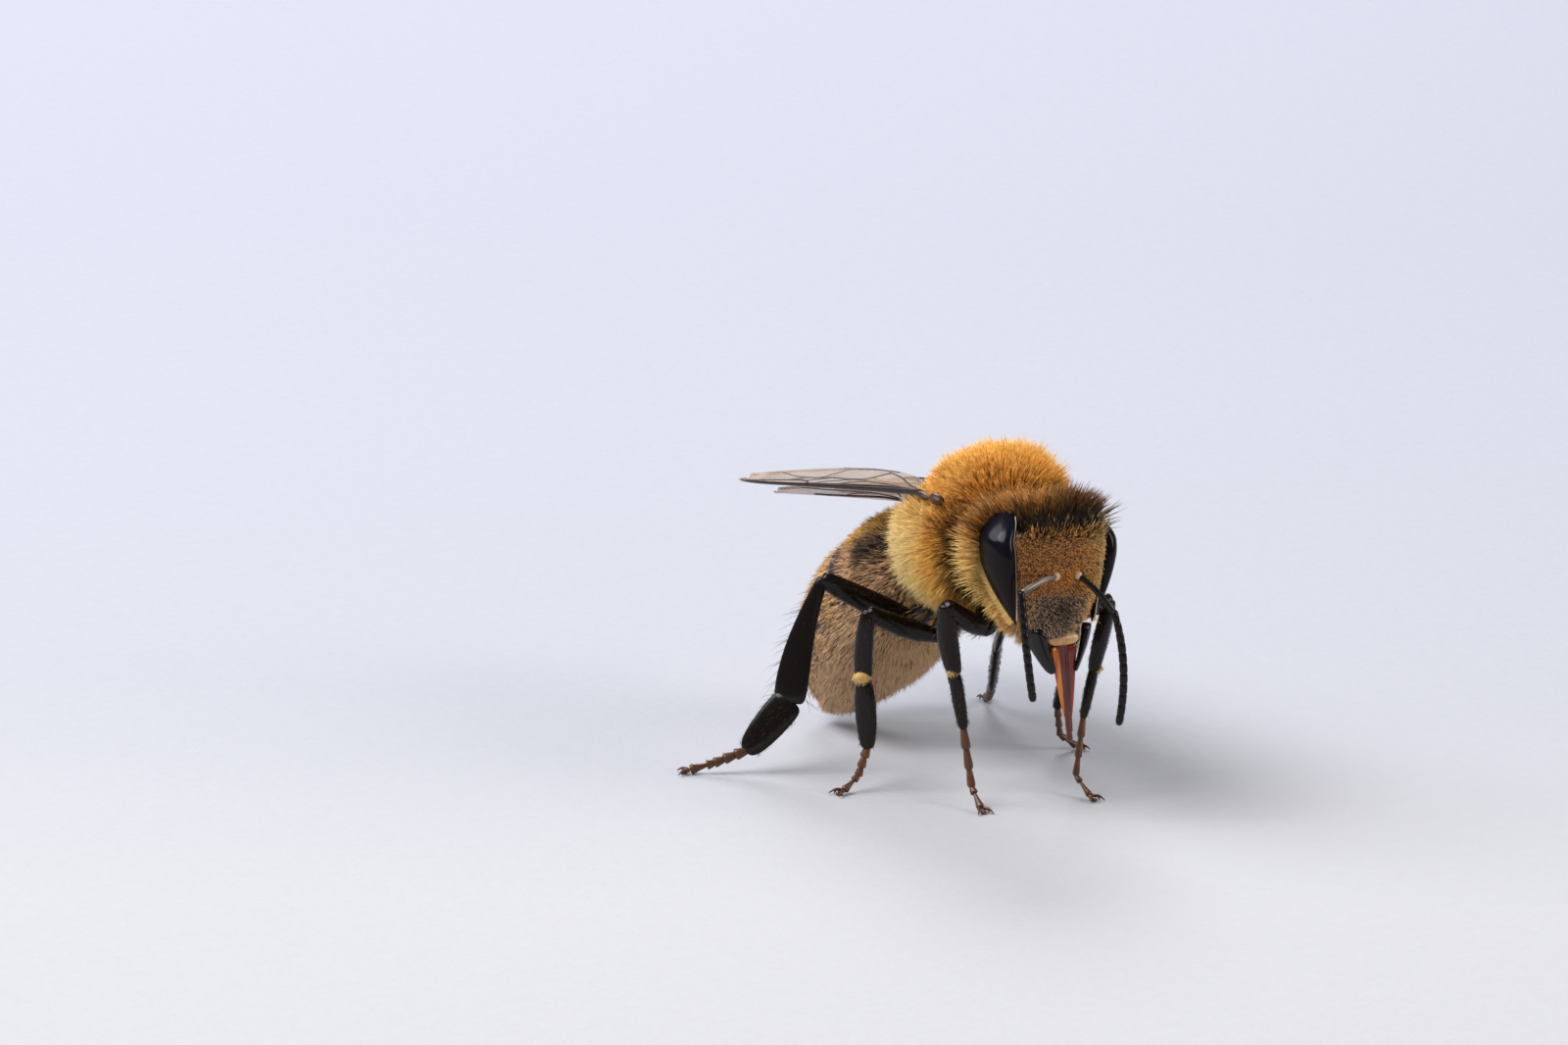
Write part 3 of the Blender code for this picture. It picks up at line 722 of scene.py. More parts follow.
def growHair(name, root, direction, normal, length, width, colour, paintedRootShade, uv, seed,
             bow=0.25, joints=1, clumpSize=0, pull=0.6, sink=0.03, paintedTipLight=1.15, paintedTipGlow=0.35,
             spread=(0.75, 1.2)):
    # one tapering three-sided hair, copied to every root and joined as one mesh
    random = np.random.RandomState(seed)
    count = len(root)
    length = np.broadcast_to(length, count)[:, None]
    width = np.broadcast_to(width, count)
    colour = np.broadcast_to(colour, (count, 3))
    root = root - normal * sink
    tip = root + direction * length
    shared = np.ones(count)
    if clumpSize:
        tip, shared = clumpTips(root, tip, clumpSize, pull, seed + 1)
    sideways = unit(np.cross(normal + 0.01, tip - root))
    lift = unit(np.cross(tip - root, sideways))
    bend = (lift * bow + sideways * random.uniform(-bow, bow, (count, 1)) * 0.6) * length
    levels = np.array(hairShape["levels"][joints])
    spin = random.uniform(0, 2 * math.pi, count)
    rings, shades, alongUv = [], [], []
    for level in levels:
        middle = root + (tip - root) * level + bend * (level * (1 - level))
        radius = width * (1 - level) ** hairShape["taper"] / 2
        for corner in range(3):
            angle = spin + corner * 2 * math.pi / 3
            rings.append(middle + sideways * (np.cos(angle) * radius)[:, None]
                         + lift * (np.sin(angle) * radius)[:, None])
            shades.append(level)
            alongUv.append((corner / 2 - 0.5, level - 0.5))
    rings.append(tip)
    shades.append(1.0)
    alongUv.append((0.0, 0.5))
    vertices = np.stack(rings, 1)
    per = vertices.shape[1]
    faces = [(2, 1, 0)]
    for ring in range(len(levels) - 1):
        for corner in range(3):
            a, b = ring * 3 + corner, ring * 3 + (corner + 1) % 3
            faces += [(a, b, b + 3), (a, b + 3, a + 3)]
    last = (len(levels) - 1) * 3
    faces += [(last + corner, last + (corner + 1) % 3, per - 1) for corner in range(3)]
    faces = np.array(faces)
    offsets = np.arange(count)[:, None, None] * per
    corners = (faces[None] + offsets).reshape(-1)
    mesh = bpy.data.meshes.new(name)
    mesh.vertices.add(count * per)
    mesh.vertices.foreach_set("co", vertices.reshape(-1))
    mesh.loops.add(len(corners))
    mesh.loops.foreach_set("vertex_index", corners.astype(np.int32))
    mesh.polygons.add(len(corners) // 3)
    mesh.polygons.foreach_set("loop_start", np.arange(0, len(corners), 3, dtype=np.int32))
    mesh.update(calc_edges=True)
    shade = np.array(shades)[None, :, None]
    perHair = (random.uniform(*spread, count) * shared)[:, None, None]
    paintedRootShade = np.broadcast_to(paintedRootShade, count)[:, None, None]
    # painted light and shade: each hair is painted dark at its root, as shade deep in the coat,
    # and brighter towards its tip, as light glowing through it
    tint = colour[:, None, :] * perHair * (paintedRootShade + (paintedTipLight - paintedRootShade) * shade ** 0.9)
    tint = tint / np.maximum(tint.max(-1, keepdims=True), 1)
    # painted light: tips are painted paler, towards cream, as light glows through them
    cream = tint.max(-1, keepdims=True) * hairShape["paintedGlowColour"]
    paintMarking(mesh, tint + (cream - tint) * paintedTipGlow * shade ** 2)
    patch = np.array(alongUv)[None] * hairShape["patch"] + uv[:, None, :]
    layer = mesh.uv_layers.new(name="OFBake")
    layer.data.foreach_set("uv", patch.reshape(-1, 2)[corners].reshape(-1).astype(np.float32))
    piece = bpy.data.objects.new(name, mesh)
    bpy.context.scene.collection.objects.link(piece)
    return piece


def paintMarking(mesh, colour):
    # a colour for each point of a mesh, which the finishes read
    rgba = np.ones((len(mesh.vertices), 4))
    rgba[:, :3] = np.clip(colour, 0, 1).reshape(-1, 3)
    attribute = mesh.attributes.new("marking", "FLOAT_COLOR", "POINT")
    attribute.data.foreach_set("color", rgba.reshape(-1).astype(np.float32))


def markShell(piece, colourOf):
    paintMarking(piece.data, colourOf(pointsOf(piece)))


def shapeSphere(name, surface, around, lengthwise):
    # a sphere whose rings are laid on one of the forms above
    piece = bead(name, (0, 0, 0), (1, 1, 1), segments=around, rings=lengthwise)
    points = pointsOf(piece)
    height = np.clip(points[:, 2], -1, 1)
    v = np.arccos(-height) / math.pi
    u = np.arctan2(points[:, 1], points[:, 0]) / (2 * math.pi) % 1
    piece.data.vertices.foreach_set("co", surface(u, v).reshape(-1))
    turnFacesOut(piece, mergeWithin=0.0005)
    return piece


skin = {
    "voxel": 0.055,
    "smoothing": (0.6, 3),     # factor, times
    "neck": (((0, -1.0, 6.34), 1.45, 1.54), ((0, -1.6, 6.36), 1.27, 1.34),
             ((0, -1.98, 6.38), 1.05, 1.1), ((0, -2.3, 6.38), 0.9, 0.96),
             ((0, -2.6, 6.38), 0.85, 0.92), ((0, -3.0, 6.36), 0.76, 0.86)),
    "scutellum": ((0, 0.95, 7.5), (1.0, 0.5, 0.4), (-30, 0, 0)),
    "clypeus": ((0, -3.84, 5.28), (0.66, 0.38, 0.7), (-6, 0, 0)),
    "browRidge": ((0, -4.0, 6.1), (0.34, 0.2, 0.34), (0, 0, 0)),
    # distance along the abdomen's axis, radius
    "waist": ((-0.9, 0.62), (-0.45, 0.42), (0.0, 0.36), (0.3, 0.5), (0.8, 0.9), (1.6, 1.1),
              (2.6, 0.3)),
}


def makeSkin(material):
    # head, neck, thorax and waist as one closed skin
    headParts = [shapeSphere("headShape", headSurface, 64, 40),
                 bead("clypeusForm", *skin["clypeus"]),
                 bead("browForm", *skin["browRidge"])]
    for part in headParts:
        part.data.transform(headTurn)
    parts = headParts + [shapeSphere("thoraxShape", thoraxSurface, 64, 40),
                         ringTube("neckForm", skin["neck"], 32, (0, 0, 1)),
                         bead("scutellumForm", *skin["scutellum"])]
    distances, radii = zip(*skin["waist"])
    waist = list(zip(abdomenAxis(distances)[0], radii, radii))
    parts.append(ringTube("waistForm", waist, 32, (0, 0, 1)))
    piece = joined(parts, "beeSkin")
    factor, times = skin["smoothing"]
    useModifier(piece, "REMESH", mode="VOXEL", voxel_size=skin["voxel"], use_smooth_shade=True)
    useModifier(piece, "SMOOTH", factor=factor, iterations=times)
    markShell(piece, skinMarking)
    settle(piece, material, ("head", "neck", "thorax", "petiole"), angle=0)


def skinMarking(point):
    shell = tone("shellDark")
    upright = tilted(point, headTurn.inverted())
    onFace = smoothStep(-3.6, -4.0, point[:, 1])
    sockets = np.exp(-(upright[:, 0] / 0.42) ** 2 - ((upright[:, 2] - 6.36) / 0.2) ** 2) * onFace
    shell = blend(shell, tone("socketShell"), sockets * 0.9)
    onHead = smoothStep(-2.5, -2.9, point[:, 1])
    hair = np.where(onHead[:, None] > 0.5, headMarking(upright), thoraxMarking(point))
    return blend(shell, hair, 0.05)


plates = {
    "around": 72,
    "overlap": 0.34,       # how far each plate reaches under the one before it
    "flare": 0.045,        # how far its rear edge stands over the next plate
    "lip": 0.05,           # thickness of that edge
    "fold": 0.045,         # step where the upper plate laps over the lower one
    "sunk": 0.09, "rising": 0.05, "out": 0.04,       # depths of its hidden part under the form
    "firstOverlap": 0.1,
    "hidden": (0.0, 0.35, 0.6, 0.8, 0.92, 1.0),      # rings under the plate before it
    "shown": (0.12, 0.3, 0.5, 0.7, 0.85, 0.95),      # rings that show, up to the lip
    "tip": (0.8, 0.88, 0.95, 0.985),                 # and those that close the last plate
}


def makePlate(number, start, end, last):
    # one ring plate: it starts under the plate before it and ends in a rounded lip
    reach = end - start
    under = start - plates["overlap" if number > 1 else "firstOverlap"]
    flare, out = plates["flare"], plates["out"]
    rows = [(under + (start - under) * share, -plates["sunk"] + plates["rising"] * share)
            for share in plates["hidden"]]
    rows += [(start + reach * share, -out + (flare + out) * share ** 0.8)
             for share in plates["shown"]]
    if last:
        rows = rows[:-2] + [(start + reach * share, 0.0) for share in plates["tip"]]
    else:
        rows += [(end, flare), (end + 0.012, flare - plates["lip"] * 0.5),
                 (end - 0.01, flare - plates["lip"] * 1.2)]
    stations = []
    for distance, proud in rows:
        point = abdomenAxis(distance)[0]
        width = float(along(abdomenForm["halfWidth"], distance)[0]) + proud
        stations.append((Vector(point), width, width * abdomenForm["flatness"]))
    return ringTube("abdomenPlate%d" % number, stations, plates["around"], (0, 0, 1))


def abdomenPolar(place):
    # distance along the curved axis and angle round it, of points on the abdomen
    distances = np.linspace(0, abdomenForm["length"], 400)
    axis, _, across, upward = abdomenAxis(distances)
    found = np.empty(len(place), int)
    for low in range(0, len(place), 4000):
        part = place[low:low + 4000]
        found[low:low + 4000] = np.argmin(
            np.linalg.norm(part[:, None] - axis[None], axis=-1), axis=1)
    away = place - axis[found]
    return distances[found], np.arctan2(np.sum(away * upward[found], -1),
                                        np.sum(away * across[found], -1))


def makePlates(material):
    cuts = abdomenForm["cuts"]
    for number, (start, end) in enumerate(zip(cuts, cuts[1:]), start=1):
        piece = makePlate(number, start, end, number == len(cuts) - 1)
        place = pointsOf(piece)
        distance, angle = abdomenPolar(place)
        # the upper plate laps over the lower one low on each side
        axis = abdomenAxis(distance)[0]
        low = smoothStep(-0.5, -0.56, np.sin(angle))
        place = place + (axis - place) * (low * plates["fold"])[:, None]
        piece.data.vertices.foreach_set("co", place.reshape(-1))
        subdivide(piece)
        markShell(piece, lambda point: abdomenShellMarking(*abdomenPolar(point)))
        settle(piece, material,
               ("abdomen_%d" % number,), angle=60)


eyes = {
    "y": -3.4, "low": 5.13, "high": 7.96,
    "margin": 1.22,            # the straight inner margin that shows on the face
    "spread": 0.13,            # how far it moves outwards from half way up to the top
    "closing": 0.3,            # and how far the top bends in again
    "sunk": 0.07,              # how far the eye reaches inside that margin
    "bulge": 0.58,             # how far it stands out beyond that margin
    "halfDepth": 0.64,
    "widest": 0.2,             # where it bulges most, -1 at its foot and 1 at its top
    "fullness": (2.2, 1.7),    # how full it is above that place, and below
    "forward": (0.55, -0.34),  # how far its foot bends round to the face, and its top back
    "rimHalf": 0.018,
    "rimStep": (0.03, -0.06, 0),     # how far the rim stands off the eye
}
ocelli = {
    "middles": ((0.06, -3.76, 7.55), (-0.18, -3.52, 7.66), (0.3, -3.52, 7.66)),
    "radii": (0.12, 0.12, 0.1),
}


def eyeMargin(rise):
    return eyes["margin"] + eyes["spread"] * rise - eyes["closing"] * smoothStep(0.45, 1, rise)


def eyeSurface(side):
    # an upright oval that is full above and tapers to its foot
    form = eyes

    def surface(u, v):
        rise = 2 * v - 1
        above = rise > form["widest"]
        away = np.where(above, (rise - form["widest"]) / (1 - form["widest"]),
                        (form["widest"] - rise) / (1 + form["widest"]))
        high, low = form["fullness"]
        full = np.where(above, np.sqrt(np.maximum(1 - away ** high, 0)),
                        np.maximum(1 - away ** low, 0))
        outer = eyeMargin(rise) + form["bulge"] * full
        inner = eyeMargin(rise) - form["sunk"] * full
        angle = 2 * np.pi * u
        x = (outer + inner) / 2 + (outer - inner) / 2 * np.cos(angle)
        foot, top = form["forward"]
        y = form["y"] + 0.1 * np.cos(angle) * full - np.where(above, top, foot) * away ** 1.5
        return np.stack((side * x, y + form["halfDepth"] * full * np.sin(angle),
                         form["low"] + (form["high"] - form["low"]) * (v + 0 * u)), -1)
    return surface


def makeEyes(lensMaterial, rimMaterial):
    for word, side in sides:
        surface = eyeSurface(side)
        lens = shapeSphere("eyeLens_" + word, surface, 72, 56)
        lens.data.transform(headTurn)
        settle(lens, lensMaterial, ("eye_" + word,), angle=0)
        # a thin rim runs down the inner margin of the eye, painted pale as a highlight along it
        line = []
        for v in np.linspace(0.05, 0.95, 25):
            ring = surface(np.linspace(0.5, 1.0, 200), v + np.zeros(200))
            place = ring[np.argmin(np.abs(np.abs(ring[:, 0]) - eyeMargin(2 * v - 1)))]
            step = Vector(eyes["rimStep"])
            step.x *= side
            line.append((Vector(place) + step, eyes["rimHalf"], eyes["rimHalf"]))
        rim = ringTube("eyeRim_" + word, line, 8, (0, 1, 0))
        rim.data.transform(headTurn)
        settle(rim, rimMaterial)
    for number, middle in enumerate(ocelli["middles"], start=1):
        lens = bead("ocellus_%d" % number, middle, ocelli["radii"], segments=24, rings=16)
        lens.data.transform(headTurn)
        settle(lens, lensMaterial, angle=0)


feelers = {
    "socketHalf": 0.12,
    "scapeHalf": 0.08,
    "scapeBow": (0, -0.03, 0.08),      # the scape bows a little and thickens to its end
    "scape": ((0, 0.7), (0.05, 1.0), (0.25, 0.9), (0.5, 1.0), (0.75, 1.1), (0.93, 1.25),
              (1.0, 0.8)),
    "flagellumHalf": 0.105,
    "flagellumStart": 0.09,            # share of the way from elbow to tip
    "segments": 10,
    "segment": ((0.02, 0.86), (0.12, 0.97), (0.5, 1.0), (0.86, 0.99), (0.97, 0.88)),
    # socket, elbow, a point half way down, tip
    "right": ((-0.31, -4.2, 6.45), (-1.5, -4.55, 6.24), (-1.5, -4.86, 4.9), (-1.31, -4.94, 3.5)),
    "left": ((0.33, -4.2, 6.4), (1.0, -4.89, 5.53), (1.21, -5.06, 4.1), (1.16, -4.98, 2.58)),
}


def curvePoint(points, share):
    # a quadratic bow through the first, middle and last point
    first, middle, last = points
    control = middle * 2 - (first + last) / 2
    return first * (1 - share) ** 2 + control * 2 * share * (1 - share) + last * share ** 2


def makeFeelers(scapeMaterials, shellMaterial, knobMaterial):
    for word, _ in sides:
        socket, elbow, middle, tip = [Vector(point) for point in feelers[word]]
        knob = bead("feelerSocket_" + word, socket + Vector((0, 0.03, 0)),
                    (feelers["socketHalf"],) * 3, segments=20, rings=14)
        settle(knob, knobMaterial, angle=0)
        half, bow = feelers["scapeHalf"], Vector(feelers["scapeBow"])
        line = [(socket.lerp(elbow, share) + bow * math.sin(math.pi * share), half * size,
                 half * size) for share, size in feelers["scape"]]
        scape = ringTube("scape_" + word, line, 12, (0, 1, 0.2), 1)
        settle(scape, scapeMaterials[word], ("scape_" + word,))
        half, start, count = [feelers[key]
                              for key in ("flagellumHalf", "flagellumStart", "segments")]
        line = [(elbow + (elbow - middle).normalized() * 0.06, half * 0.55, half * 0.55),
                (elbow, half * 0.9, half * 0.9),
                (curvePoint((elbow, middle, tip), start * 0.7), half * 0.85, half * 0.85)]
        for segment in range(count):
            low = start + (1 - start) * segment / count
            high = start + (1 - start) * (segment + 1) / count
            for share, size in feelers["segment"]:
                if segment == count - 1 and share > 0.8:     # the tip is rounded
                    size = 0.78 if share < 0.9 else 0.4
                place = curvePoint((elbow, middle, tip), low + (high - low) * share)
                swell = 0.9 + 0.1 * min(1, (segment + share) / 2)
                line.append((place, half * size * swell, half * size * swell))
        flagellum = ringTube("flagellum_" + word, line, 16, (0, 1, 0.2))
        settle(flagellum, shellMaterial, ("flagellum_" + word,), angle=60)


mouth = {
    "labrum": (((0, -4.0, 4.9), 0.4, 0.05), ((0, -4.1, 4.8), 0.46, 0.07),
               ((0, -4.14, 4.7), 0.44, 0.06), ((0, -4.14, 4.63), 0.34, 0.04),
               ((0, -4.13, 4.6), 0.2, 0.02)),
    "base": ((0.02, -3.8, 4.56), (0.5, 0.24, 0.5), (0, 0, 0)),
    "mandibleRoot": (0.77, -3.92, 5.06), "mandibleTip": (0.32, -4.2, 3.9),
    "mandible": ((0.0, 0.18, 0.12), (0.08, 0.3, 0.14), (0.25, 0.31, 0.13), (0.45, 0.26, 0.11),
                 (0.65, 0.22, 0.09), (0.85, 0.19, 0.07), (0.96, 0.13, 0.05), (1.0, 0.05, 0.03)),
    "mouthMiddle": (0.0, -3.95, 4.62), "tongueTip": (0.24, -4.13, 2.05),
    "galea": ((0.0, 0.25, 0.08), (0.12, 0.24, 0.1), (0.35, 0.2, 0.09), (0.6, 0.15, 0.07),
              (0.85, 0.09, 0.05), (1.0, 0.02, 0.02)),
    "galeaTip": 0.84,        # share of the way from the mouth to the tip of the tongue
    "palpTip": 0.9,
    "palpHalf": (0.06, 0.05),
    "palp": ((0, 1.0), (0.3, 1.0), (0.6, 0.9), (0.62, 0.7), (0.8, 0.75), (0.82, 0.5),
             (1.0, 0.35)),
    # fine rings run along the tongue, and it ends in a small spoon
    "tongueRings": 40, "ringHeight": 0.07,
    "tongueHalf": 0.13, "tongueTaper": 0.06,
    "spoon": (0.085, 0.09, 0.03),
}


def makeMouth(jawMaterial, lipMaterial, galeaMaterials, tongueMaterial):
    labrum = ringTube("labrum", mouth["labrum"], 20, (0, 1, 0), 1)
    settle(labrum, lipMaterial, ("labrum",))
    base = bead("mouthBase", *mouth["base"], segments=28, rings=18)
    settle(base, jawMaterial, angle=0)
    for word, side in sides:
        root, tip = Vector(mouth["mandibleRoot"]), Vector(mouth["mandibleTip"])
        root.x, tip.x = root.x * side, tip.x * side
        line = []
        for share, width, thick in mouth["mandible"]:
            bow = Vector((0.06 * side, 0.02, 0)) * math.sin(math.pi * share ** 0.8)
            line.append((root.lerp(tip, share) + bow, width, thick))
        mandible = ringTube("mandible_" + word, line, 16, (0.88 * side, -0.47, 0), 1)
        settle(mandible, jawMaterial, ("mandible_" + word,))
    start, end = Vector(mouth["mouthMiddle"]), Vector(mouth["tongueTip"])
    for word, side in sides:
        tip = start.lerp(end, mouth["galeaTip"])
        line = []
        for share, width, thick in mouth["galea"]:
            bow = Vector((0.17 * side * (1 - 0.75 * share), -0.02, 0))
            line.append((start.lerp(tip, share) + bow, width, thick))
        galea = ringTube("galea_" + word, line, 14, (0.7 * side, 1, 0), 1)
        settle(galea, galeaMaterials[word], ("proboscis",))
        tip = start.lerp(end, mouth["palpTip"])
        halfWidth, halfThick = mouth["palpHalf"]
        line = []
        for share, size in mouth["palp"]:
            bow = Vector((0.1 * side, -0.09, 0)) * (1 - 0.35 * share)
            line.append((start.lerp(tip, share) + bow, halfWidth * size, halfThick * size))
        palp = ringTube("palp_" + word, line, 10, (0, 1, 0))
        settle(palp, tongueMaterial, angle=60)
    line = []
    rings, spoon = mouth["tongueRings"], mouth["spoon"]
    sizes = [(mouth["tongueHalf"] - mouth["tongueTaper"] * (step / rings))
             * (1 + mouth["ringHeight"] * (step % 2)) for step in range(rings + 1)]
    sizes[-len(spoon):] = spoon
    for step, size in enumerate(sizes):
        line.append((start.lerp(end, step / rings) + Vector((0, -0.02, 0)), size, size * 0.9))
    tongue = ringTube("tongue", line, 14, (0, 1, 0))
    settle(tongue, tongueMaterial, ("tongue",), angle=60)


wings = {
    "root": (1.8, 0.35, 7.42),
    "slope": 11.6, "spread": 6.6,
    "layer": 0.25,             # half the height between the two folded forewings
    "film": 0.022,
    "fore": {"length": 9.3, "tipStart": 0.72, "tipSweep": 0.28,
             "widths": ((0.0, 0.3), (0.08, 0.72), (0.2, 1.35), (0.4, 2.25), (0.6, 2.92),
                        (0.72, 3.02), (0.82, 2.8), (0.9, 2.3), (0.96, 1.5), (1.0, 0.3))},
    "hind": {"length": 6.3, "tipStart": 0.72, "tipSweep": 0.28,
             "widths": ((0.0, 0.25), (0.12, 0.75), (0.35, 1.25), (0.65, 1.4), (0.85, 1.1),
                        (0.95, 0.7), (1.0, 0.15))},
    "hindStep": (0, 1.0, -0.18), "hindDrop": 0.3,
    "ruffle": 0.05, "ruffles": (9.5, 2.0),     # folds: height, and turns across and along
    "camber": 0.14, "rise": 0.12,
    "cells": (72, 22),
    "veinTaper": 0.35, "veinFlat": 0.9,
}
# veins as (half thickness, points), each point as shares of the wing's length and width
foreVeins = (
    (0.085, ((0.0, 0.1), (0.05, 0.04), (0.2, 0.012), (0.4, 0.008), (0.57, 0.01))),
    (0.055, ((0.57, 0.01), (0.7, 0.008), (0.82, 0.01), (0.93, 0.02))),
    (0.05, ((0.0, 0.4), (0.1, 0.2), (0.22, 0.1), (0.4, 0.055), (0.57, 0.04))),
    (0.028, ((0.57, 0.04), (0.6, 0.12), (0.68, 0.17), (0.8, 0.16), (0.88, 0.1), (0.93, 0.02))),
    (0.03, ((0.05, 0.32), (0.15, 0.3), (0.28, 0.3), (0.36, 0.34), (0.42, 0.38))),
    (0.026, ((0.36, 0.34), (0.39, 0.2), (0.42, 0.06))),
    (0.024, ((0.42, 0.38), (0.5, 0.34), (0.58, 0.36), (0.66, 0.34), (0.74, 0.36), (0.82, 0.42),
             (0.9, 0.52))),
    (0.022, ((0.47, 0.35), (0.49, 0.22), (0.54, 0.06))),
    (0.02, ((0.6, 0.35), (0.62, 0.24), (0.63, 0.15))),
    (0.02, ((0.73, 0.36), (0.74, 0.26), (0.76, 0.17))),
    (0.028, ((0.03, 0.55), (0.12, 0.58), (0.25, 0.66), (0.38, 0.7), (0.46, 0.78), (0.5, 0.94))),
    (0.022, ((0.38, 0.7), (0.4, 0.52), (0.43, 0.38))),
    (0.02, ((0.46, 0.76), (0.56, 0.7), (0.64, 0.66), (0.72, 0.72), (0.78, 0.84))),
    (0.018, ((0.64, 0.66), (0.65, 0.5), (0.66, 0.34))),
    (0.024, ((0.02, 0.75), (0.12, 0.86), (0.25, 0.93), (0.34, 0.95))),
)
hindVeins = (
    (0.04, ((0.0, 0.3), (0.2, 0.08), (0.45, 0.03), (0.62, 0.03))),
    (0.025, ((0.05, 0.5), (0.25, 0.4), (0.45, 0.34), (0.66, 0.4), (0.85, 0.5))),
    (0.02, ((0.3, 0.4), (0.33, 0.22), (0.4, 0.04))),
    (0.022, ((0.08, 0.65), (0.25, 0.75), (0.4, 0.88))),
)


def wingPoint(kind, side, share, across):
    # a point of the folded film: across is 0 at the front edge and 1 at the inner edge
    form = wings[kind]
    slope, spread = math.radians(wings["slope"]), math.radians(wings["spread"])
    ahead = np.array((math.sin(spread) * side * math.cos(slope),
                      math.cos(spread) * math.cos(slope), -math.sin(slope)))
    share, across = np.broadcast_arrays(np.asarray(share, float), np.asarray(across, float))
    width = along(form["widths"], share)[..., 0]
    blade = max(row[1] for row in form["widths"])
    tip = np.maximum(0, share - form["tipStart"]) / (1 - form["tipStart"])
    sweep = form["tipSweep"] * (1 - np.sqrt(1 - np.minimum(tip, 1) ** 2)) * blade
    root = np.array(wings["root"]) * (side, 1, 1)
    lift = -wings["layer"] * side
    if kind == "hind":
        root = root + np.array(wings["hindStep"])
        lift -= wings["hindDrop"]
    # folds that run out along the wing stiffen it
    turnsAcross, turnsAlong = wings["ruffles"]
    ruffle = (wings["ruffle"] * np.sin(across * turnsAcross + share * turnsAlong)
              * smoothStep(0, 0.25, share))
    camber = (wings["camber"] * np.sin(np.pi * across) * np.sin(np.pi * np.clip(share, 0, 1))
              + wings["rise"] * across * smoothStep(0.0, 0.3, share))
    place = root + ahead * (form["length"] * share)[..., None]
    place[..., 0] += -side * (sweep + width * across)
    place[..., 2] += lift + ruffle + camber
    return place


def makeWing(kind, word, side, filmMaterial, veinMaterial, veins):
    deselectAll()
    lengthCells, widthCells = wings["cells"]
    bpy.ops.mesh.primitive_grid_add(x_subdivisions=lengthCells, y_subdivisions=widthCells, size=1)
    film = bpy.context.object
    film.name = kind + "wing_" + word
    flat = pointsOf(film)
    place = wingPoint(kind, side, flat[:, 0] + 0.5, flat[:, 1] + 0.5)
    film.data.vertices.foreach_set("co", place.reshape(-1))
    turnFacesOut(film)
    useModifier(film, "SOLIDIFY", thickness=wings["film"], offset=0)
    settle(film, filmMaterial, (kind + "wing_" + word,), angle=40)
    tubes = []
    for half, points in veins:
        table = [(index / (len(points) - 1), *point) for index, point in enumerate(points)]
        steps = max(6, 5 * (len(points) - 1))
        stations = []
        for step in range(steps + 1):
            share, across = along(table, step / steps)
            size = half * (1 - wings["veinTaper"] * step / steps)
            stations.append((Vector(wingPoint(kind, side, share, across)), size,
                             size * wings["veinFlat"]))
        tubes.append(ringTube("vein", stations, 8, (0, 0, 1)))
    settle(joined(tubes, kind + "wingVeins_" + word), veinMaterial, angle=60)


shoulders = {
    "shell": ((1.78, -0.6, 7.72), (0.15, 0.26, 0.12), (12, 38, 0)),
    "knuckle": ((1.8, 0.12, 7.45), (0.11, 0.34, 0.085), (0, 20, 0)),
    "knuckleDrop": 0.8,        # share of the wing's layer that the knuckle follows
}


def makeShoulders(material):
    # a small shell over each wing's root, and the knuckle that the wing turns on
    for word, side in sides:
        (x, y, z), radii, (tilt, lean, turn) = shoulders["shell"]
        drop = wings["layer"] * (side + 1) / 2       # the wing on the bee's left is the lower one
        shell = bead("tegula_" + word, (x * side, y + drop, z - drop), radii,
                     (tilt, lean * side, turn), segments=32, rings=20)
        (x, y, z), radii, (tilt, lean, turn) = shoulders["knuckle"]
        place = (x * side, y, z - wings["layer"] * side * shoulders["knuckleDrop"])
        knuckle = bead("knuckle", place, radii, (tilt, lean * side, turn))
        settle(joined([shell, knuckle], "tegula_" + word), material, angle=0)


# joints of each leg: root, trochanter, knee, end of the tibia, end of the basitarsus, ankle, toe
legJoints = {
    ("fore", "right"): ((-0.55, -1.25, 4.9), (-1.0, -1.95, 4.55), (-2.3, -2.12, 5.38),
                        (-1.86, -1.86, 3.5), (-1.62, -1.95, 2.05), (-1.45, -2.15, 0.5),
                        (-1.5, -2.75, 0.1)),
    ("fore", "left"): ((0.55, -1.25, 4.9), (1.0, -1.95, 4.5), (2.45, -2.2, 4.95),
                       (2.02, -2.2, 3.2), (1.72, -2.25, 2.0), (1.45, -2.4, 0.5),
                       (1.55, -3.0, 0.1)),
    ("middle", "right"): ((-0.6, 0.2, 4.45), (-1.2, 0.28, 3.82), (-3.2, 0.3, 4.67),
                          (-3.3, 0.28, 2.95), (-3.25, 0.1, 1.17), (-3.5, 0.12, 0.42),
                          (-3.95, 0.05, 0.1)),
    ("middle", "left"): ((0.6, 0.2, 4.45), (1.2, 0.3, 3.82), (3.1, 0.7, 4.6),
                         (3.15, 0.85, 2.9), (2.85, 1.05, 1.2), (2.95, 1.05, 0.42),
                         (3.4, 0.98, 0.1)),
    ("hind", "right"): ((-0.7, 1.1, 4.5), (-1.15, 1.62, 3.9), (-3.42, 2.35, 5.06),
                        (-4.36, 2.3, 1.93), (-5.36, 2.7, 0.62), (-6.15, 3.0, 0.3),
                        (-6.72, 3.25, 0.12)),
    ("hind", "left"): ((0.7, 1.1, 4.5), (1.15, 1.62, 3.9), (3.1, 3.1, 4.98),
                       (2.78, 4.15, 2.08), (2.95, 4.7, 0.72), (3.15, 5.2, 0.32),
                       (3.35, 5.7, 0.12)),
}
broadSide = {"right": (-0.75, -0.62, 0.15), "left": (0.75, -0.62, 0.15)}
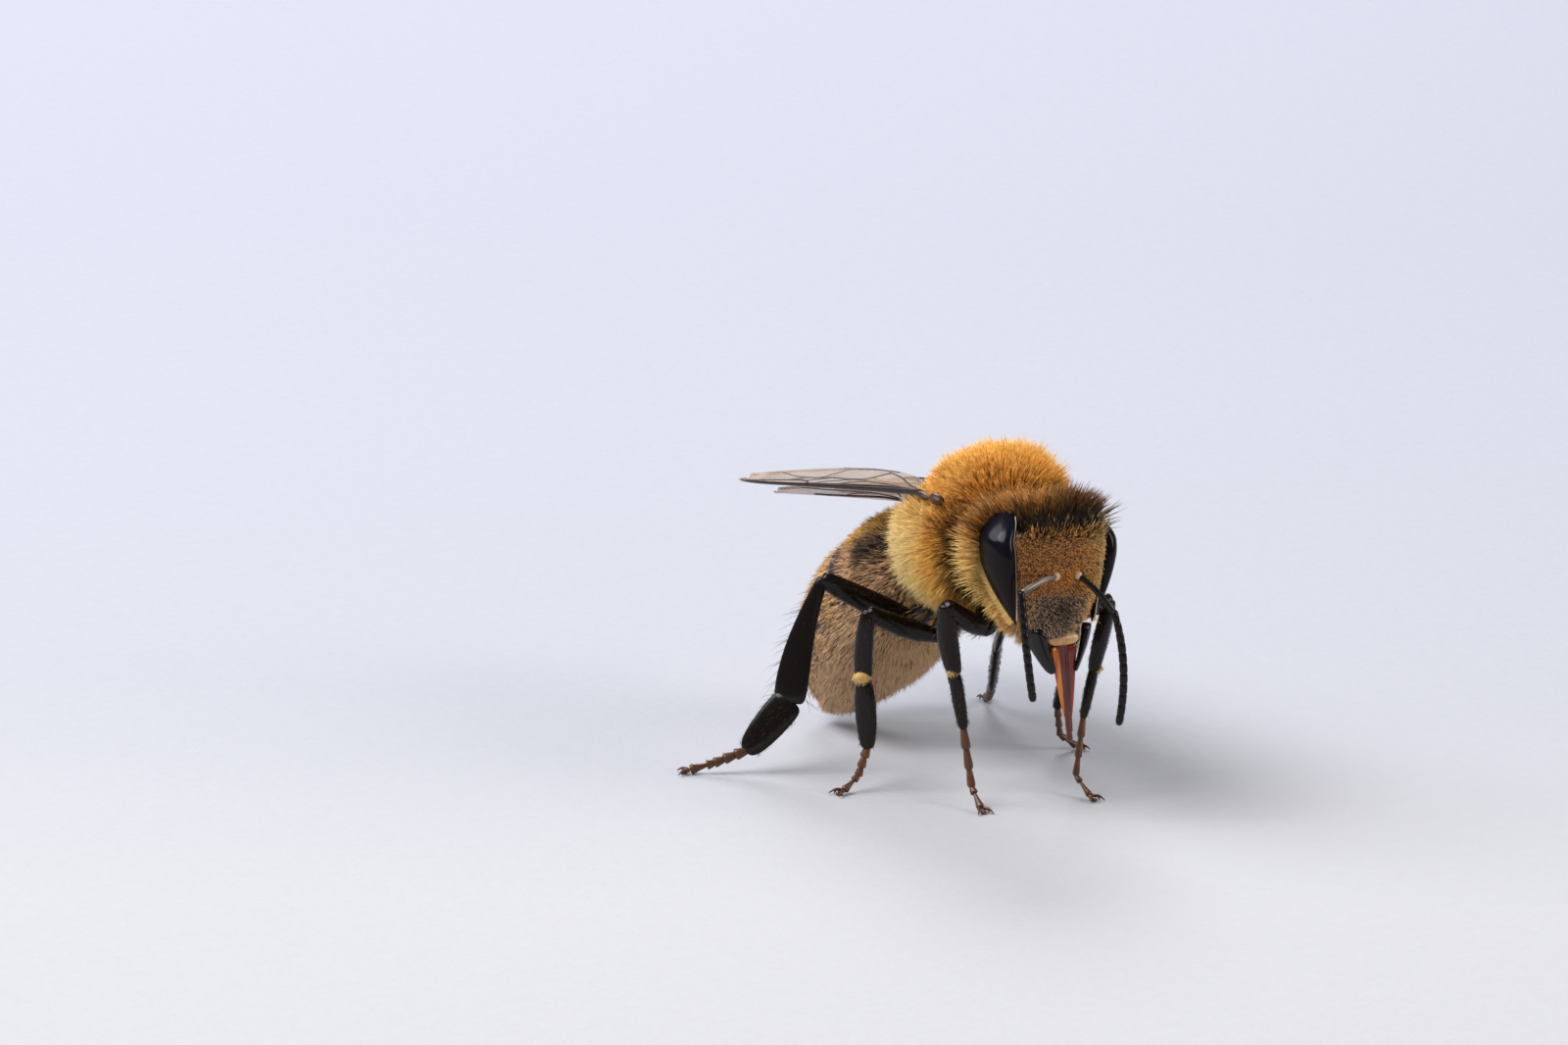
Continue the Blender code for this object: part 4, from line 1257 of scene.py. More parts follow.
# rings along each piece of a leg: share of its length, half width, half thickness
legShapes = {
    ("fore", "coxa"): ((0.0, 0.34, 0.34), (0.4, 0.36, 0.34), (0.8, 0.28, 0.28), (1.0, 0.2, 0.2)),
    ("fore", "femur"): ((0.0, 0.13, 0.13), (0.05, 0.19, 0.17), (0.2, 0.26, 0.22),
                        (0.45, 0.29, 0.25), (0.75, 0.26, 0.22), (0.95, 0.23, 0.2),
                        (1.0, 0.17, 0.15)),
    ("fore", "tibia"): ((0.0, 0.13, 0.12), (0.06, 0.22, 0.17), (0.3, 0.28, 0.21),
                        (0.6, 0.29, 0.21), (0.88, 0.24, 0.18), (0.97, 0.2, 0.16),
                        (1.0, 0.13, 0.12)),
    ("fore", "basitarsus"): ((0.0, 0.1, 0.1), (0.06, 0.16, 0.13), (0.3, 0.19, 0.14),
                             (0.7, 0.17, 0.13), (0.95, 0.14, 0.11), (1.0, 0.09, 0.08)),
    ("middle", "coxa"): ((0.0, 0.38, 0.38), (0.5, 0.36, 0.34), (0.85, 0.28, 0.28),
                         (1.0, 0.2, 0.2)),
    ("middle", "femur"): ((0.0, 0.14, 0.14), (0.05, 0.19, 0.18), (0.25, 0.27, 0.24),
                          (0.5, 0.29, 0.25), (0.8, 0.23, 0.2), (0.96, 0.22, 0.19),
                          (1.0, 0.16, 0.14)),
    ("middle", "tibia"): ((0.0, 0.12, 0.12), (0.06, 0.2, 0.16), (0.3, 0.24, 0.18),
                          (0.65, 0.26, 0.19), (0.9, 0.25, 0.18), (0.98, 0.2, 0.15),
                          (1.0, 0.13, 0.1)),
    ("middle", "basitarsus"): ((0.0, 0.12, 0.1), (0.05, 0.22, 0.15), (0.3, 0.3, 0.17),
                               (0.6, 0.3, 0.17), (0.9, 0.23, 0.14), (0.98, 0.17, 0.12),
                               (1.0, 0.1, 0.08)),
    ("hind", "coxa"): ((0.0, 0.4, 0.4), (0.5, 0.38, 0.36), (0.85, 0.3, 0.28), (1.0, 0.2, 0.2)),
    ("hind", "femur"): ((0.0, 0.15, 0.14), (0.05, 0.22, 0.18), (0.25, 0.3, 0.22),
                        (0.5, 0.34, 0.24), (0.8, 0.28, 0.2), (0.96, 0.24, 0.18),
                        (1.0, 0.17, 0.14)),
    ("hind", "tibia"): ((0.0, 0.12, 0.1), (0.05, 0.17, 0.13), (0.2, 0.22, 0.15),
                        (0.4, 0.31, 0.15), (0.6, 0.4, 0.14), (0.8, 0.46, 0.13),
                        (0.94, 0.46, 0.12), (0.99, 0.4, 0.1), (1.0, 0.28, 0.07)),
    ("hind", "basitarsus"): ((0.0, 0.28, 0.08), (0.04, 0.42, 0.12), (0.18, 0.46, 0.14),
                             (0.5, 0.44, 0.14), (0.8, 0.37, 0.13), (0.95, 0.26, 0.11),
                             (1.0, 0.14, 0.08)),
}
legOrder = ("coxa", "femur", "tibia", "basitarsus")
legs = {
    "overlap": 0.06,           # how far pieces run into each other at a joint
    "bow": {"coxa": 0.0, "femur": 0.07, "tibia": -0.07, "hindTibia": -0.14, "basitarsus": 0.0},
    # rings along the leg from its joint: how far, half width, half thickness
    "trochanter": ((-0.12, 0.12, 0.12), (-0.04, 0.2, 0.2), (0.12, 0.21, 0.2),
                   (0.26, 0.16, 0.15)),
    # rings of the spur at the end of the tibia: how far along and to the side, halves
    "spurRoot": (-0.06, 0.12),
    "spur": ((0, 0, 0.03, 0.03), (0.14, 0.05, 0.032, 0.025), (0.3, 0.07, 0.018, 0.015),
             (0.4, 0.06, 0.004, 0.004)),
}


def jointsOf(pair, word):
    return [Vector(point) for point in legJoints[pair, word]]


def legLine(pair, word, piece):
    at = legOrder.index(piece)
    start, end = jointsOf(pair, word)[at:at + 2]
    ahead = (end - start).normalized()
    start, end = start - ahead * legs["overlap"], end + ahead * legs["overlap"]
    amount = legs["bow"]["hindTibia" if (pair, piece) == ("hind", "tibia") else piece]
    bow = Vector(broadSide[word]).cross(ahead).normalized() * amount
    return [(start.lerp(end, share) + bow * math.sin(math.pi * share), width, thick)
            for share, width, thick in legShapes[pair, piece]]


feet = {
    "half": {"fore": 0.13, "middle": 0.13, "hind": 0.155},
    "thinner": 0.008,          # each joint is thinner than the one before it by this
    "flat": 0.8,
    # rings of a small joint, and of the longer last one: share of its length, share of its half
    "joint": ((-0.04, 0.5), (0.02, 0.72), (0.3, 0.82), (0.7, 1.0), (0.93, 1.08), (1.04, 0.75)),
    "lastJoint": ((-0.02, 0.4), (0.05, 0.55), (0.35, 0.65), (0.7, 1.05), (0.9, 1.25),
                  (1.0, 0.8)),
    "claw": ((0, 1.0), (0.2, 1.1), (0.45, 0.9), (0.7, 0.6), (0.9, 0.35), (1.0, 0.12)),
    "clawHalf": (0.038, 0.045),
    # rings of the tooth under each claw: how far along, to the side and up, half width
    "tooth": ((0.14, 0.13, 0.11, 0.03), (0.17, 0.14, 0.05, 0.02), (0.17, 0.14, 0.01, 0.006)),
    "pad": (0.1, 0.075, 0.055),
}


def makeClaws(toe, ahead):
    # two hooked claws and the pad between them, down on the floor
    parts = []
    level = Vector((ahead.x, ahead.y, 0)).normalized()
    beside = Vector((-level.y, level.x, 0))
    base = Vector((toe.x, toe.y, 0)) + level * 0.02
    halfWidth, halfThick = feet["clawHalf"]
    for way in (-1, 1):
        line = []
        for share, size in feet["claw"]:
            hook = 0.1 + 0.05 * math.sin(math.pi * share) - 0.07 * share ** 2
            place = (base + level * (0.3 * share) + beside * way * (0.05 + 0.17 * share)
                     + Vector((0, 0, hook)))
            line.append((place, halfWidth * size, halfThick * size))
        parts.append(ringTube("claw", line, 10, (0, 0, 1)))
        line = [(base + level * reach + beside * way * out + Vector((0, 0, up)), half, half)
                for reach, out, up, half in feet["tooth"]]
        parts.append(ringTube("claw", line, 8, level))
    parts.append(bead("pad", base + level * 0.13 + Vector((0, 0, 0.055)), feet["pad"],
                      (0, 0, math.degrees(math.atan2(level.y, level.x))), 20, 12))
    return parts


def makeFoot(pair, word):
    # four small joints that fan out, a longer last one, then the claws
    heel, ankle, toe = jointsOf(pair, word)[4:]
    line = [heel, heel.lerp(ankle, 0.36), heel.lerp(ankle, 0.7), ankle, ankle.lerp(toe, 0.3), toe]
    parts = []
    for number, (low, high) in enumerate(zip(line, line[1:])):
        ahead = (high - low).normalized()
        reach = (high - low).length
        half = feet["half"][pair] - feet["thinner"] * number
        shape = feet["joint" if number < 4 else "lastJoint"]
        stations = [(low + ahead * reach * share, half * size, half * size * feet["flat"])
                    for share, size in shape]
        parts.append(ringTube("joint", stations, 12, broadSide[word], 1))
    return parts + makeClaws(toe, toe - ankle)


jointPads = {
    "fore": (0.13, 0.1, 0.1), "middle": (0.24, 0.16, 0.15),
    "hairs": 260, "length": 0.09, "width": 0.014, "seed": 700,
}


def makeJointPad(pair, word, material, hairMaterial):
    # the pale soft joint between tibia and basitarsus, with its tuft of short pale hairs
    ankle, below = jointsOf(pair, word)[3:5]
    outward = Vector(broadSide[word]).normalized()
    size = jointPads[pair]
    middle = ankle + outward * size[2] * 0.75 + (ankle - below).normalized() * 0.03
    pad = bead("jointPad_%s_%s" % (pair, word), middle, size, (0, 0, 0), 24, 16)
    count = jointPads["hairs"]
    random = np.random.RandomState(jointPads["seed"])
    normal = unit(random.normal(0, 1, (count, 3)))
    place = np.array(middle) + normal * size
    direction = unit(normal + np.array((0, 0, -0.9)))
    settle(pad, material, angle=0)
    length = jointPads["length"] * (0.6 + 0.8 * random.rand(count))
    uv = np.stack((np.arctan2(normal[:, 1], normal[:, 0]) / (2 * math.pi) + 0.5,
                   normal[:, 2] / 2 + 0.5), -1)
    tuft = growHair("jointTuft_%s_%s" % (pair, word), place, direction, normal, length,
                    jointPads["width"], tone("cream"), 0.7, uv, jointPads["seed"] + 1, sink=0.01,
                    paintedTipLight=1.2)
    settle(tuft, hairMaterial, angle=0)


def makeTrochanter(joint, knee):
    # the short ring between coxa and femur
    ahead = (knee - joint).normalized()
    return ringTube("trochanter", [(joint + ahead * reach, width, thick)
                                   for reach, width, thick in legs["trochanter"]],
                    16, (0, 1, 0), 1)


def makeSpur(joint, below, word):
    ahead = (below - joint).normalized()
    beside = ahead.cross(Vector(broadSide[word])).normalized()
    back, out = legs["spurRoot"]
    root = joint + ahead * back + beside * out
    return ringTube("spur", [(root + ahead * reach + beside * away, width, thick)
                             for reach, away, width, thick in legs["spur"]], 8, (0, 1, 0))


def makeLegs(shellMaterial, footMaterial, padMaterial, hairMaterial):
    for pair, word in legJoints:
        joints = jointsOf(pair, word)
        for piece in legOrder:
            name = "%s_%s_%s" % (piece, pair, word)
            part = ringTube(name, legLine(pair, word, piece), 20, broadSide[word], 1)
            if piece == "femur":
                part = joined([part, makeTrochanter(*joints[1:3])], name)
            if piece == "tibia" and pair != "hind":
                part = joined([part, makeSpur(*joints[3:5], word)], name)
                makeJointPad(pair, word, padMaterial, hairMaterial)
            settle(part, shellMaterial, (name,))
        foot = joined(makeFoot(pair, word), "foot_%s_%s" % (pair, word))
        settle(foot, footMaterial, ("tarsus_%s_%s" % (pair, word),))


thoraxCoat = {
    # a short under layer, painted dark as the shade deep in the coat, and a longer layer that
    # shows
    "under": {"hairs": 13400, "pieces": 1, "length": 0.34, "width": 0.036, "seed": 11,
              "shape": {"bow": 0.2, "paintedTipLight": 0.8, "paintedTipGlow": 0.0}},
    "outer": {"hairs": 42000, "pieces": 4, "length": 0.62, "width": 0.026, "seed": 14,
              "shape": {"bow": 0.1, "joints": 2, "clumpSize": 7, "pull": 0.7, "paintedTipLight": 2.4,
                        "paintedTipGlow": 0.3}},
    # the wings' roots stay clear
    "bareCentres": ((1.7, -0.6, 7.72), (1.85, -0.1, 7.55), (1.8, 0.4, 7.5)),
    "bareReach": 0.22,
    "lean": 0.62, "ruff": 1.0, "unruly": 0.13,
    # the crest over the head is the longest, the belly the shortest
    "crestLonger": 0.3,
    "shorter": {"top": 0.12, "belly": 0.4, "rear": 0.22, "throat": 0.35},
}


def splitHair(name, pieces, material, grow):
    # every so many hairs go to the same piece, so that each piece is spread over the whole coat
    for number in range(pieces):
        piece = grow(slice(number, None, pieces), "%s%d" % (name, number + 1), number)
        settle(piece, material, angle=0)


def thoraxCover(point, u, v):
    clear = np.ones(point.shape[:-1])
    for centre in thoraxCoat["bareCentres"]:
        for side in (-1, 1):
            root = np.array(centre) * (side, 1, 1) - (0, 0, wings["layer"] * (side + 1) / 2)
            away = np.linalg.norm(point - root, axis=-1)
            reach = thoraxCoat["bareReach"]
            clear = clear * smoothStep(reach, reach + 0.2, away)
    # nothing grows inside the neck
    ring = np.linalg.norm(point[..., [0, 2]] - np.array((0, 6.2)), axis=-1)
    clear = clear * (1 - 0.6 * thoraxShadow(point))
    return clear * np.where((point[..., 1] < -1.3) & (ring < 0.55), 0.0, 1.0)


def growThoraxLayer(layer, name, material):
    form = thoraxCoat[layer]
    u, v, place, normal, _ = scatter(thoraxSurface, form["hairs"], form["seed"], thoraxCover)
    random = np.random.RandomState(form["seed"] + 1)
    x, y, z = np.moveaxis(place - np.array(thoraxForm["middle"]), -1, 0)
    # hairs stand out all round; those in front fan out round the head like a ruff
    front = smoothStep(-0.5, -1.35, y)
    rear = smoothStep(0.3, 1.3, y)
    upper = smoothStep(-0.2, 0.9, z)
    flank = (1 - front) * (1 - upper)
    top = smoothStep(1.0, 1.7, z) * (1 - rear) * (1 - front)
    lean = np.stack((0 * x, 0.6 * flank - 0.45 * rear * upper + 0.6 * top,
                     -0.22 * smoothStep(0.5, -1.2, z) + 0.12 - 0.5 * flank + 0.4 * rear * upper),
                    -1)
    ruff = unit(np.stack((x, -0.75 + 0 * x, z), -1)) * front[:, None]
    direction = unit(normal + lean * thoraxCoat["lean"] + ruff * thoraxCoat["ruff"]
                     + random.normal(0, thoraxCoat["unruly"], place.shape)
                     * (1 + 0.8 * top)[:, None])
    length = form["length"] * (0.66 + 0.4 * random.rand(len(u)) + 0.5 * random.rand(len(u)) ** 4)
    shorter, crestLonger = thoraxCoat["shorter"], thoraxCoat["crestLonger"]
    crest = smoothStep(0.1, 1.2, z) * smoothStep(0.7, -0.6, y)
    length = length * (1 - shorter["top"] * upper
                       + crestLonger * crest * smoothStep(-0.6, 1.0, x))
    length = length * (1 - shorter["belly"] * smoothStep(-0.7, -1.9, z))
    length = length * (1 - shorter["rear"] * rear * upper)
    length = length * (1 - shorter["throat"] * front * smoothStep(-0.6, -1.4, z))
    width = form["width"] * (0.75 + 0.5 * random.rand(len(u)))
    colour = thoraxMarking(place + random.normal(0, 0.08, place.shape))
    # painted light: the pale hair behind is painted bright down to its root, as light from behind
    # shines through it
    paintedRootShade = 0.06 + 0.9 * paleAndPaintedLitBand(place)
    # painted shade: the under layer is darker, except under the pale band
    if layer == "under":
        colour = blend(colour, tone("umber", 0.6), 0.75 * (1 - paleAndPaintedLitBand(place)))
    uv = np.stack((u, v), -1)

    def grow(part, piece, number):
        return growHair(piece, place[part], direction[part], normal[part], length[part],
                        width[part], colour[part], paintedRootShade[part], uv[part],
                        form["seed"] * 10 + number, **form["shape"])

    splitHair(name, form["pieces"], material, grow)


def growThoraxCoat(material):
    growThoraxLayer("under", "thoraxDown", material)
    growThoraxLayer("outer", "thoraxCoat", material)


headCoat = {
    "hairs": 20000,
    "length": 0.1, "width": 0.021,
    "crownLength": 0.26, "fringeLength": 0.85,
    "shape": {"bow": 0.2, "sink": 0.015, "paintedTipLight": 2.7, "paintedTipGlow": 0.3},
    "face": {"joints": 1, "spread": (0.03, 2.2)},
    "fringe": {"joints": 2, "clumpSize": 6, "spread": (0.6, 1.3)},
}


def headCover(point, u, v):
    # the skin under the eyes is bare, and so are the sockets and the neck
    x, y, z = np.moveaxis(point, -1, 0)
    rise = 2 * (z - eyes["low"]) / (eyes["high"] - eyes["low"]) - 1
    underEye = ((np.abs(x) > eyeMargin(rise) - 0.01) & (y < eyes["y"] + 0.5)
                & (np.abs(rise) < 0.93))
    clear = np.where(underEye, 0.0, 1.0)
    for word, _ in sides:
        centre = headTurn.inverted() @ Vector(feelers[word][0])
        away = np.hypot(x - centre.x, z - centre.z)
        clear = clear * np.where((away < 0.15) & (y < -3.6), 0.0, 1.0)
    neck = np.hypot(x, z - 6.3)
    clear = clear * np.where((y > -2.9) & (neck < 0.62), 0.0, 1.0)
    # thinner on the clypeus, so that the dark shell shows through
    clypeus = smoothStep(0.8, 0.6, np.abs(x)) * smoothStep(6.05, 5.85, z) * (y < -3.6)
    clear = clear * (1 - 0.5 * clypeus)
    return clear * np.where(y > -3.2, 0.25 + 0.8 * smoothStep(0.8, 1.4, neck), 1.0)


def raiseOnClypeus(place, normal):
    # the clypeus stands a little proud of the head's own form
    x, y, z = np.moveaxis(place, -1, 0)
    (cx, cy, cz), (rx, ry, rz), _ = skin["clypeus"]
    cover = 1 - ((x - cx) / rx) ** 2 - ((z - cz) / rz) ** 2
    proud = cy - ry * np.sqrt(np.maximum(cover, 0))
    raised = (cover > 0.02) & (y < -3.6) & (proud < y)
    place[raised, 1] = proud[raised]
    bulge = np.stack(((x - cx) / rx ** 2, (place[:, 1] - cy) / ry ** 2, (z - cz) / rz ** 2), -1)
    normal[raised] = unit(bulge)[raised]


def growHeadCoat(material):
    form = headCoat
    u, v, place, normal, _ = scatter(headSurface, form["hairs"], 21, headCover)
    random = np.random.RandomState(22)
    raiseOnClypeus(place, normal)
    x, y, z = np.moveaxis(place, -1, 0)
    face = smoothStep(-3.5, -3.75, y)
    crown = smoothStep(7.3, 7.5, z)
    behind = smoothStep(-3.6, -3.2, y)
    # face hairs lie down and outwards, crown hairs stand up, fringe hairs fan out behind the eye
    lean = np.stack((0.4 * np.sign(x) * smoothStep(0.1, 0.8, np.abs(x)), 0 * x,
                     -0.8 * smoothStep(7.2, 6.6, z) + 0.4 * crown), -1) * face[:, None]
    # crown hairs sweep out over the top of the bee's left eye
    over = smoothStep(0.5, 1.2, x) * crown
    upward = np.stack((1.3 * over, 0.25 + 0.5 * behind, 0.8 - 0.3 * over), -1) * crown[:, None]
    fan = unit(np.stack((x, -0.1 + 0 * x, 0.75 * (z - 6.3)), -1)) * behind[:, None]
    direction = unit(normal * (1 - 0.6 * behind)[:, None] + lean * 0.3 + upward + fan * 1.4
                     + random.normal(0, 0.3, place.shape))
    nearEye = smoothStep(-0.7, -1.1, x)
    length = form["length"] + (form["crownLength"] - form["length"]) * crown * (1 - nearEye)
    shorter = crown * (0.45 - 0.17 * smoothStep(0.1, 0.8, x) + 0.1 * smoothStep(0.9, 1.3, x))
    length = length + (form["fringeLength"] - length) * behind * (1 - shorter)
    # the fringe is longest over the eyes and short under the mouth
    length = length * (1 - behind * (0.6 * smoothStep(6.2, 5.2, z) - 0.2 * smoothStep(6, 7, z)))
    length = length * (1 - 0.3 * behind * smoothStep(0.9, 1.3, x) * smoothStep(7.3, 6.9, z))
    length = length + 0.2 * over * (1 - behind)
    length = length * (0.55 + 0.9 * random.rand(len(u)))
    width = form["width"] * (0.8 + 0.4 * random.rand(len(u))) * (1 + 0.5 * behind)
    # the borders of the markings are ragged
    colour = headMarking(place + random.normal(0, 0.06, place.shape))
    place, normal, direction = tilted(place), tiltedWay(normal), tiltedWay(direction)
    uv = np.stack((u, v), -1)
    fringe = behind > 0.5
    for name, part, kind in (("headCoat", ~fringe, "face"), ("headFringe", fringe, "fringe")):
        piece = growHair(name, place[part], direction[part], normal[part], length[part],
                         width[part], colour[part], 0.05, uv[part], 200, **form["shape"],
                         **form[kind])
        settle(piece, material, angle=0)


eyeFringe = {
    "hairs": 2400, "width": 0.023,
    "length": {"right": 0.19, "left": 0.4},
    "longerAbove": {"right": 1.6, "left": 0.4},
    "shape": {"bow": 0.1, "sink": 0.02, "paintedTipLight": 1.6, "paintedTipGlow": 0.5},
}


def growEyeFringe(material):
    # close pale hairs along the outer margin of each eye, painted brighter still as a rim of light
    # along its edge
    form = eyeFringe
    count = form["hairs"]
    for index, (word, side) in enumerate(sides):
        random = np.random.RandomState(250 + index)
        surface = eyeSurface(side)
        v = 0.03 + 0.94 * random.rand(count)
        u = 0.17 + 0.045 * random.rand(count) + 0.05 * np.abs(2 * v - 1) ** 2
        place, normal, _ = surfaceFrame(surface, u, v)
        away = np.stack((side * 0.85 + 0 * v, 0.35 + 0 * v, 0.9 * (v - 0.5)), -1)
        direction = unit(normal * 0.5 + away + random.normal(0, 0.16, place.shape))
        upper = smoothStep(6.5, 7.3, place[:, 2])
        length = form["length"][word] * (0.5 + 0.9 * random.rand(count) ** 2)
        length = length * (1 + form["longerAbove"][word] * upper)
        # painted light: pale hair made extra bright, as the highlight along the eye's edge
        colour = blend(tone("cream"), tone("paleGold"), 0.4) * 1.8
        colour = blend(colour, tone("umber", 0.4), upper * 0.95)
        uv = np.stack((0.5 * u + 0.5 * index, v), -1)
        place, normal, direction = tilted(place), tiltedWay(normal), tiltedWay(direction)
        piece = growHair("eyeFringe_" + word, place, direction, normal, length, form["width"],
                         colour, 0.9, uv, 260 + index, **form["shape"])
        settle(piece, material, angle=0)


abdomenCoat = {
    "hairs": 34000, "pieces": 2,
    "length": 0.3, "width": 0.028,
    "firstLength": 0.42, "bellyLength": 0.42,
    "shape": {"bow": 0.12, "clumpSize": 4, "pull": 0.4, "sink": 0.05, "paintedTipLight": 2.6,
              "paintedTipGlow": 0.25, "spread": (0.3, 1.4)},
}


def growAbdomenCoat(material):
    form = abdomenCoat

    def cover(point, u, v):
        distance = abdomenDistance(v)
        share, _, rise = abdomenPlace(distance, 2 * np.pi * u)
        band = 0.35 + 0.65 * smoothStep(0.6, 0.25, share)
        first = smoothStep(1.8, 1.2, distance)
        belly = smoothStep(0.1, -0.3, rise)
        flank = 0.8 * smoothStep(0.5, 0.1, rise)
        amount = np.maximum(np.maximum(band, first), np.maximum(belly * 0.9, flank))
        bare = np.exp(-((distance - 2.0) / 0.42) ** 2) * smoothStep(0.2, 0.7, rise)
        return amount * (1 - 0.65 * bare)

    u, v, place, normal, lengthwise = scatter(abdomenSurface, form["hairs"], 31, cover)
    random = np.random.RandomState(32)
    distance, angle = abdomenDistance(v), 2 * np.pi * u
    rise = np.sin(angle)
    first = smoothStep(1.6, 0.8, distance)
    belly = smoothStep(0.05, -0.5, rise)
    lie = 0.42 + 0.75 * first + 0.7 * belly
    direction = unit(normal * lie[:, None] + lengthwise + random.normal(0, 0.26, place.shape))
    length = form["length"] + (form["firstLength"] - form["length"]) * first
    length = np.maximum(length, form["bellyLength"] * belly)
    length = length * (0.7 + 0.6 * random.rand(len(u))) * smoothStep(6.9, 5.6, distance) ** 0.4
    width = form["width"] * (0.75 + 0.5 * random.rand(len(u)))
    colour = abdomenHairMarking(distance, angle)
    # some hairs are darker than their neighbours
    colour = colour * (1 - 0.6 * random.rand(len(u), 1) ** 2)
    uv = np.stack((u, v), -1)

    def grow(part, name, number):
        return growHair(name, place[part], direction[part], normal[part], length[part],
                        width[part], colour[part], 0.4, uv[part], 300 + number,
                        **form["shape"])

    splitHair("abdomenCoat", form["pieces"], material, grow)


legCoat = {
    "hairsPerSquare": 60,      # hairs to each square millimetre of leg
    "meanHalf": 0.25,
    "share": {"coxa": 1.6, "femur": 1.0, "tibia": 0.8, "basitarsus": 1.0},
    "length": 0.12, "width": 0.011,
    "stand": 0.35,             # how far the hairs stand up
    "fringe": 0.42,            # long hairs along both edges of the hind tibia
    "layout": (5, 6),          # columns and rows of the pieces' layouts
    "shape": {"bow": 0.12, "sink": 0.012, "paintedTipLight": 1.3},
}


def legCover(pair, piece):
    def cover(point, u, v):
        # the outer face of the hind tibia is the bare pollen basket
        if (pair, piece) != ("hind", "tibia"):
            return np.ones(u.shape)
        return np.where(np.sin(2 * np.pi * u) > 0.25, 0.03, 1.0)
    return cover


def growLegCoat(material):
    form = legCoat
    columns, rows = form["layout"]
    grown = []
    for seed, (pair, word) in enumerate(legJoints):
        for number, piece in enumerate(legOrder):
            stations = legLine(pair, word, piece)
            surface = tubeSurface(stations, broadSide[word])
            area = 2 * math.pi * form["meanHalf"] * (stations[-1][0] - stations[0][0]).length
            count = int(form["hairsPerSquare"] * area * form["share"][piece])
            u, v, place, normal, lengthwise = scatter(surface, count, 400 + seed * 10 + number,
                                                      legCover(pair, piece),
                                                      spanV=(0.05, 0.97), cells=40)
            random = np.random.RandomState(500 + seed * 10 + number)
            reach = form["length"] * (0.6 + 0.8 * random.rand(count))
            stand = np.full(count, form["stand"])
            if (pair, piece) == ("hind", "tibia"):
                edge = np.abs(np.cos(2 * np.pi * u)) ** 6
                reach = reach + form["fringe"] * edge * (0.6 + 0.5 * random.rand(count))
                stand = stand + edge * 0.6
            if piece == "femur":
                under = smoothStep(0.0, -0.9, normal[:, 2])
                reach = reach + 0.14 * under
                stand = stand + 0.5 * under
            if piece == "coxa":
                reach, stand = reach * 1.8, stand + 0.4
            direction = unit(normal * stand[:, None] + lengthwise
                             + random.normal(0, 0.14, place.shape))
            colour = blend(tone("umber", 0.15), tone("tan", 0.45),
                           0.03 + 0.22 * random.rand(count) ** 2)
            if piece == "coxa":
                colour = blend(colour, tone("paleGold"), 0.6)
            island = np.array((len(grown) % columns, len(grown) // columns), float)
            uv = (island + np.stack((u, v), -1) * 0.92) / (columns, rows)
            grown.append((place, direction, normal, reach, colour, uv))
    place, direction, normal, reach, colour, uv = [np.concatenate(parts)
                                                   for parts in zip(*grown)]
    piece = growHair("legCoat", place, direction, normal, reach, form["width"], colour, 0.6, uv,
                     600, **form["shape"])
    settle(piece, material, angle=0)


studio = {
    "floorSize": 0.9,
    "world": ((0.84, 0.89, 1.0), 0.22),
    # place in millimetres, size, power in watts, colour
    "lights": (((-175, 10, 275), 190, 0.79, (1.0, 0.985, 0.96)),
               ((-200, 145, 230), 230, 0.77, (0.86, 0.9, 1.0)),
               ((170, -150, 120), 130, 0.29, (1.0, 0.95, 0.88)),
               ((90, 190, 170), 130, 0.42, (0.92, 0.96, 1.0))),
    "lightAim": (0, 0, 5),
    "cameraPlace": (-97.82, -178.19, 62.75),
    "cameraAim": (-2.82, 0.48, 6.63),
    "lens": 189.0,
    "roll": 0.94,              # degrees
    "sensor": 36,
    "clip": (0.001, 5),        # metres
}


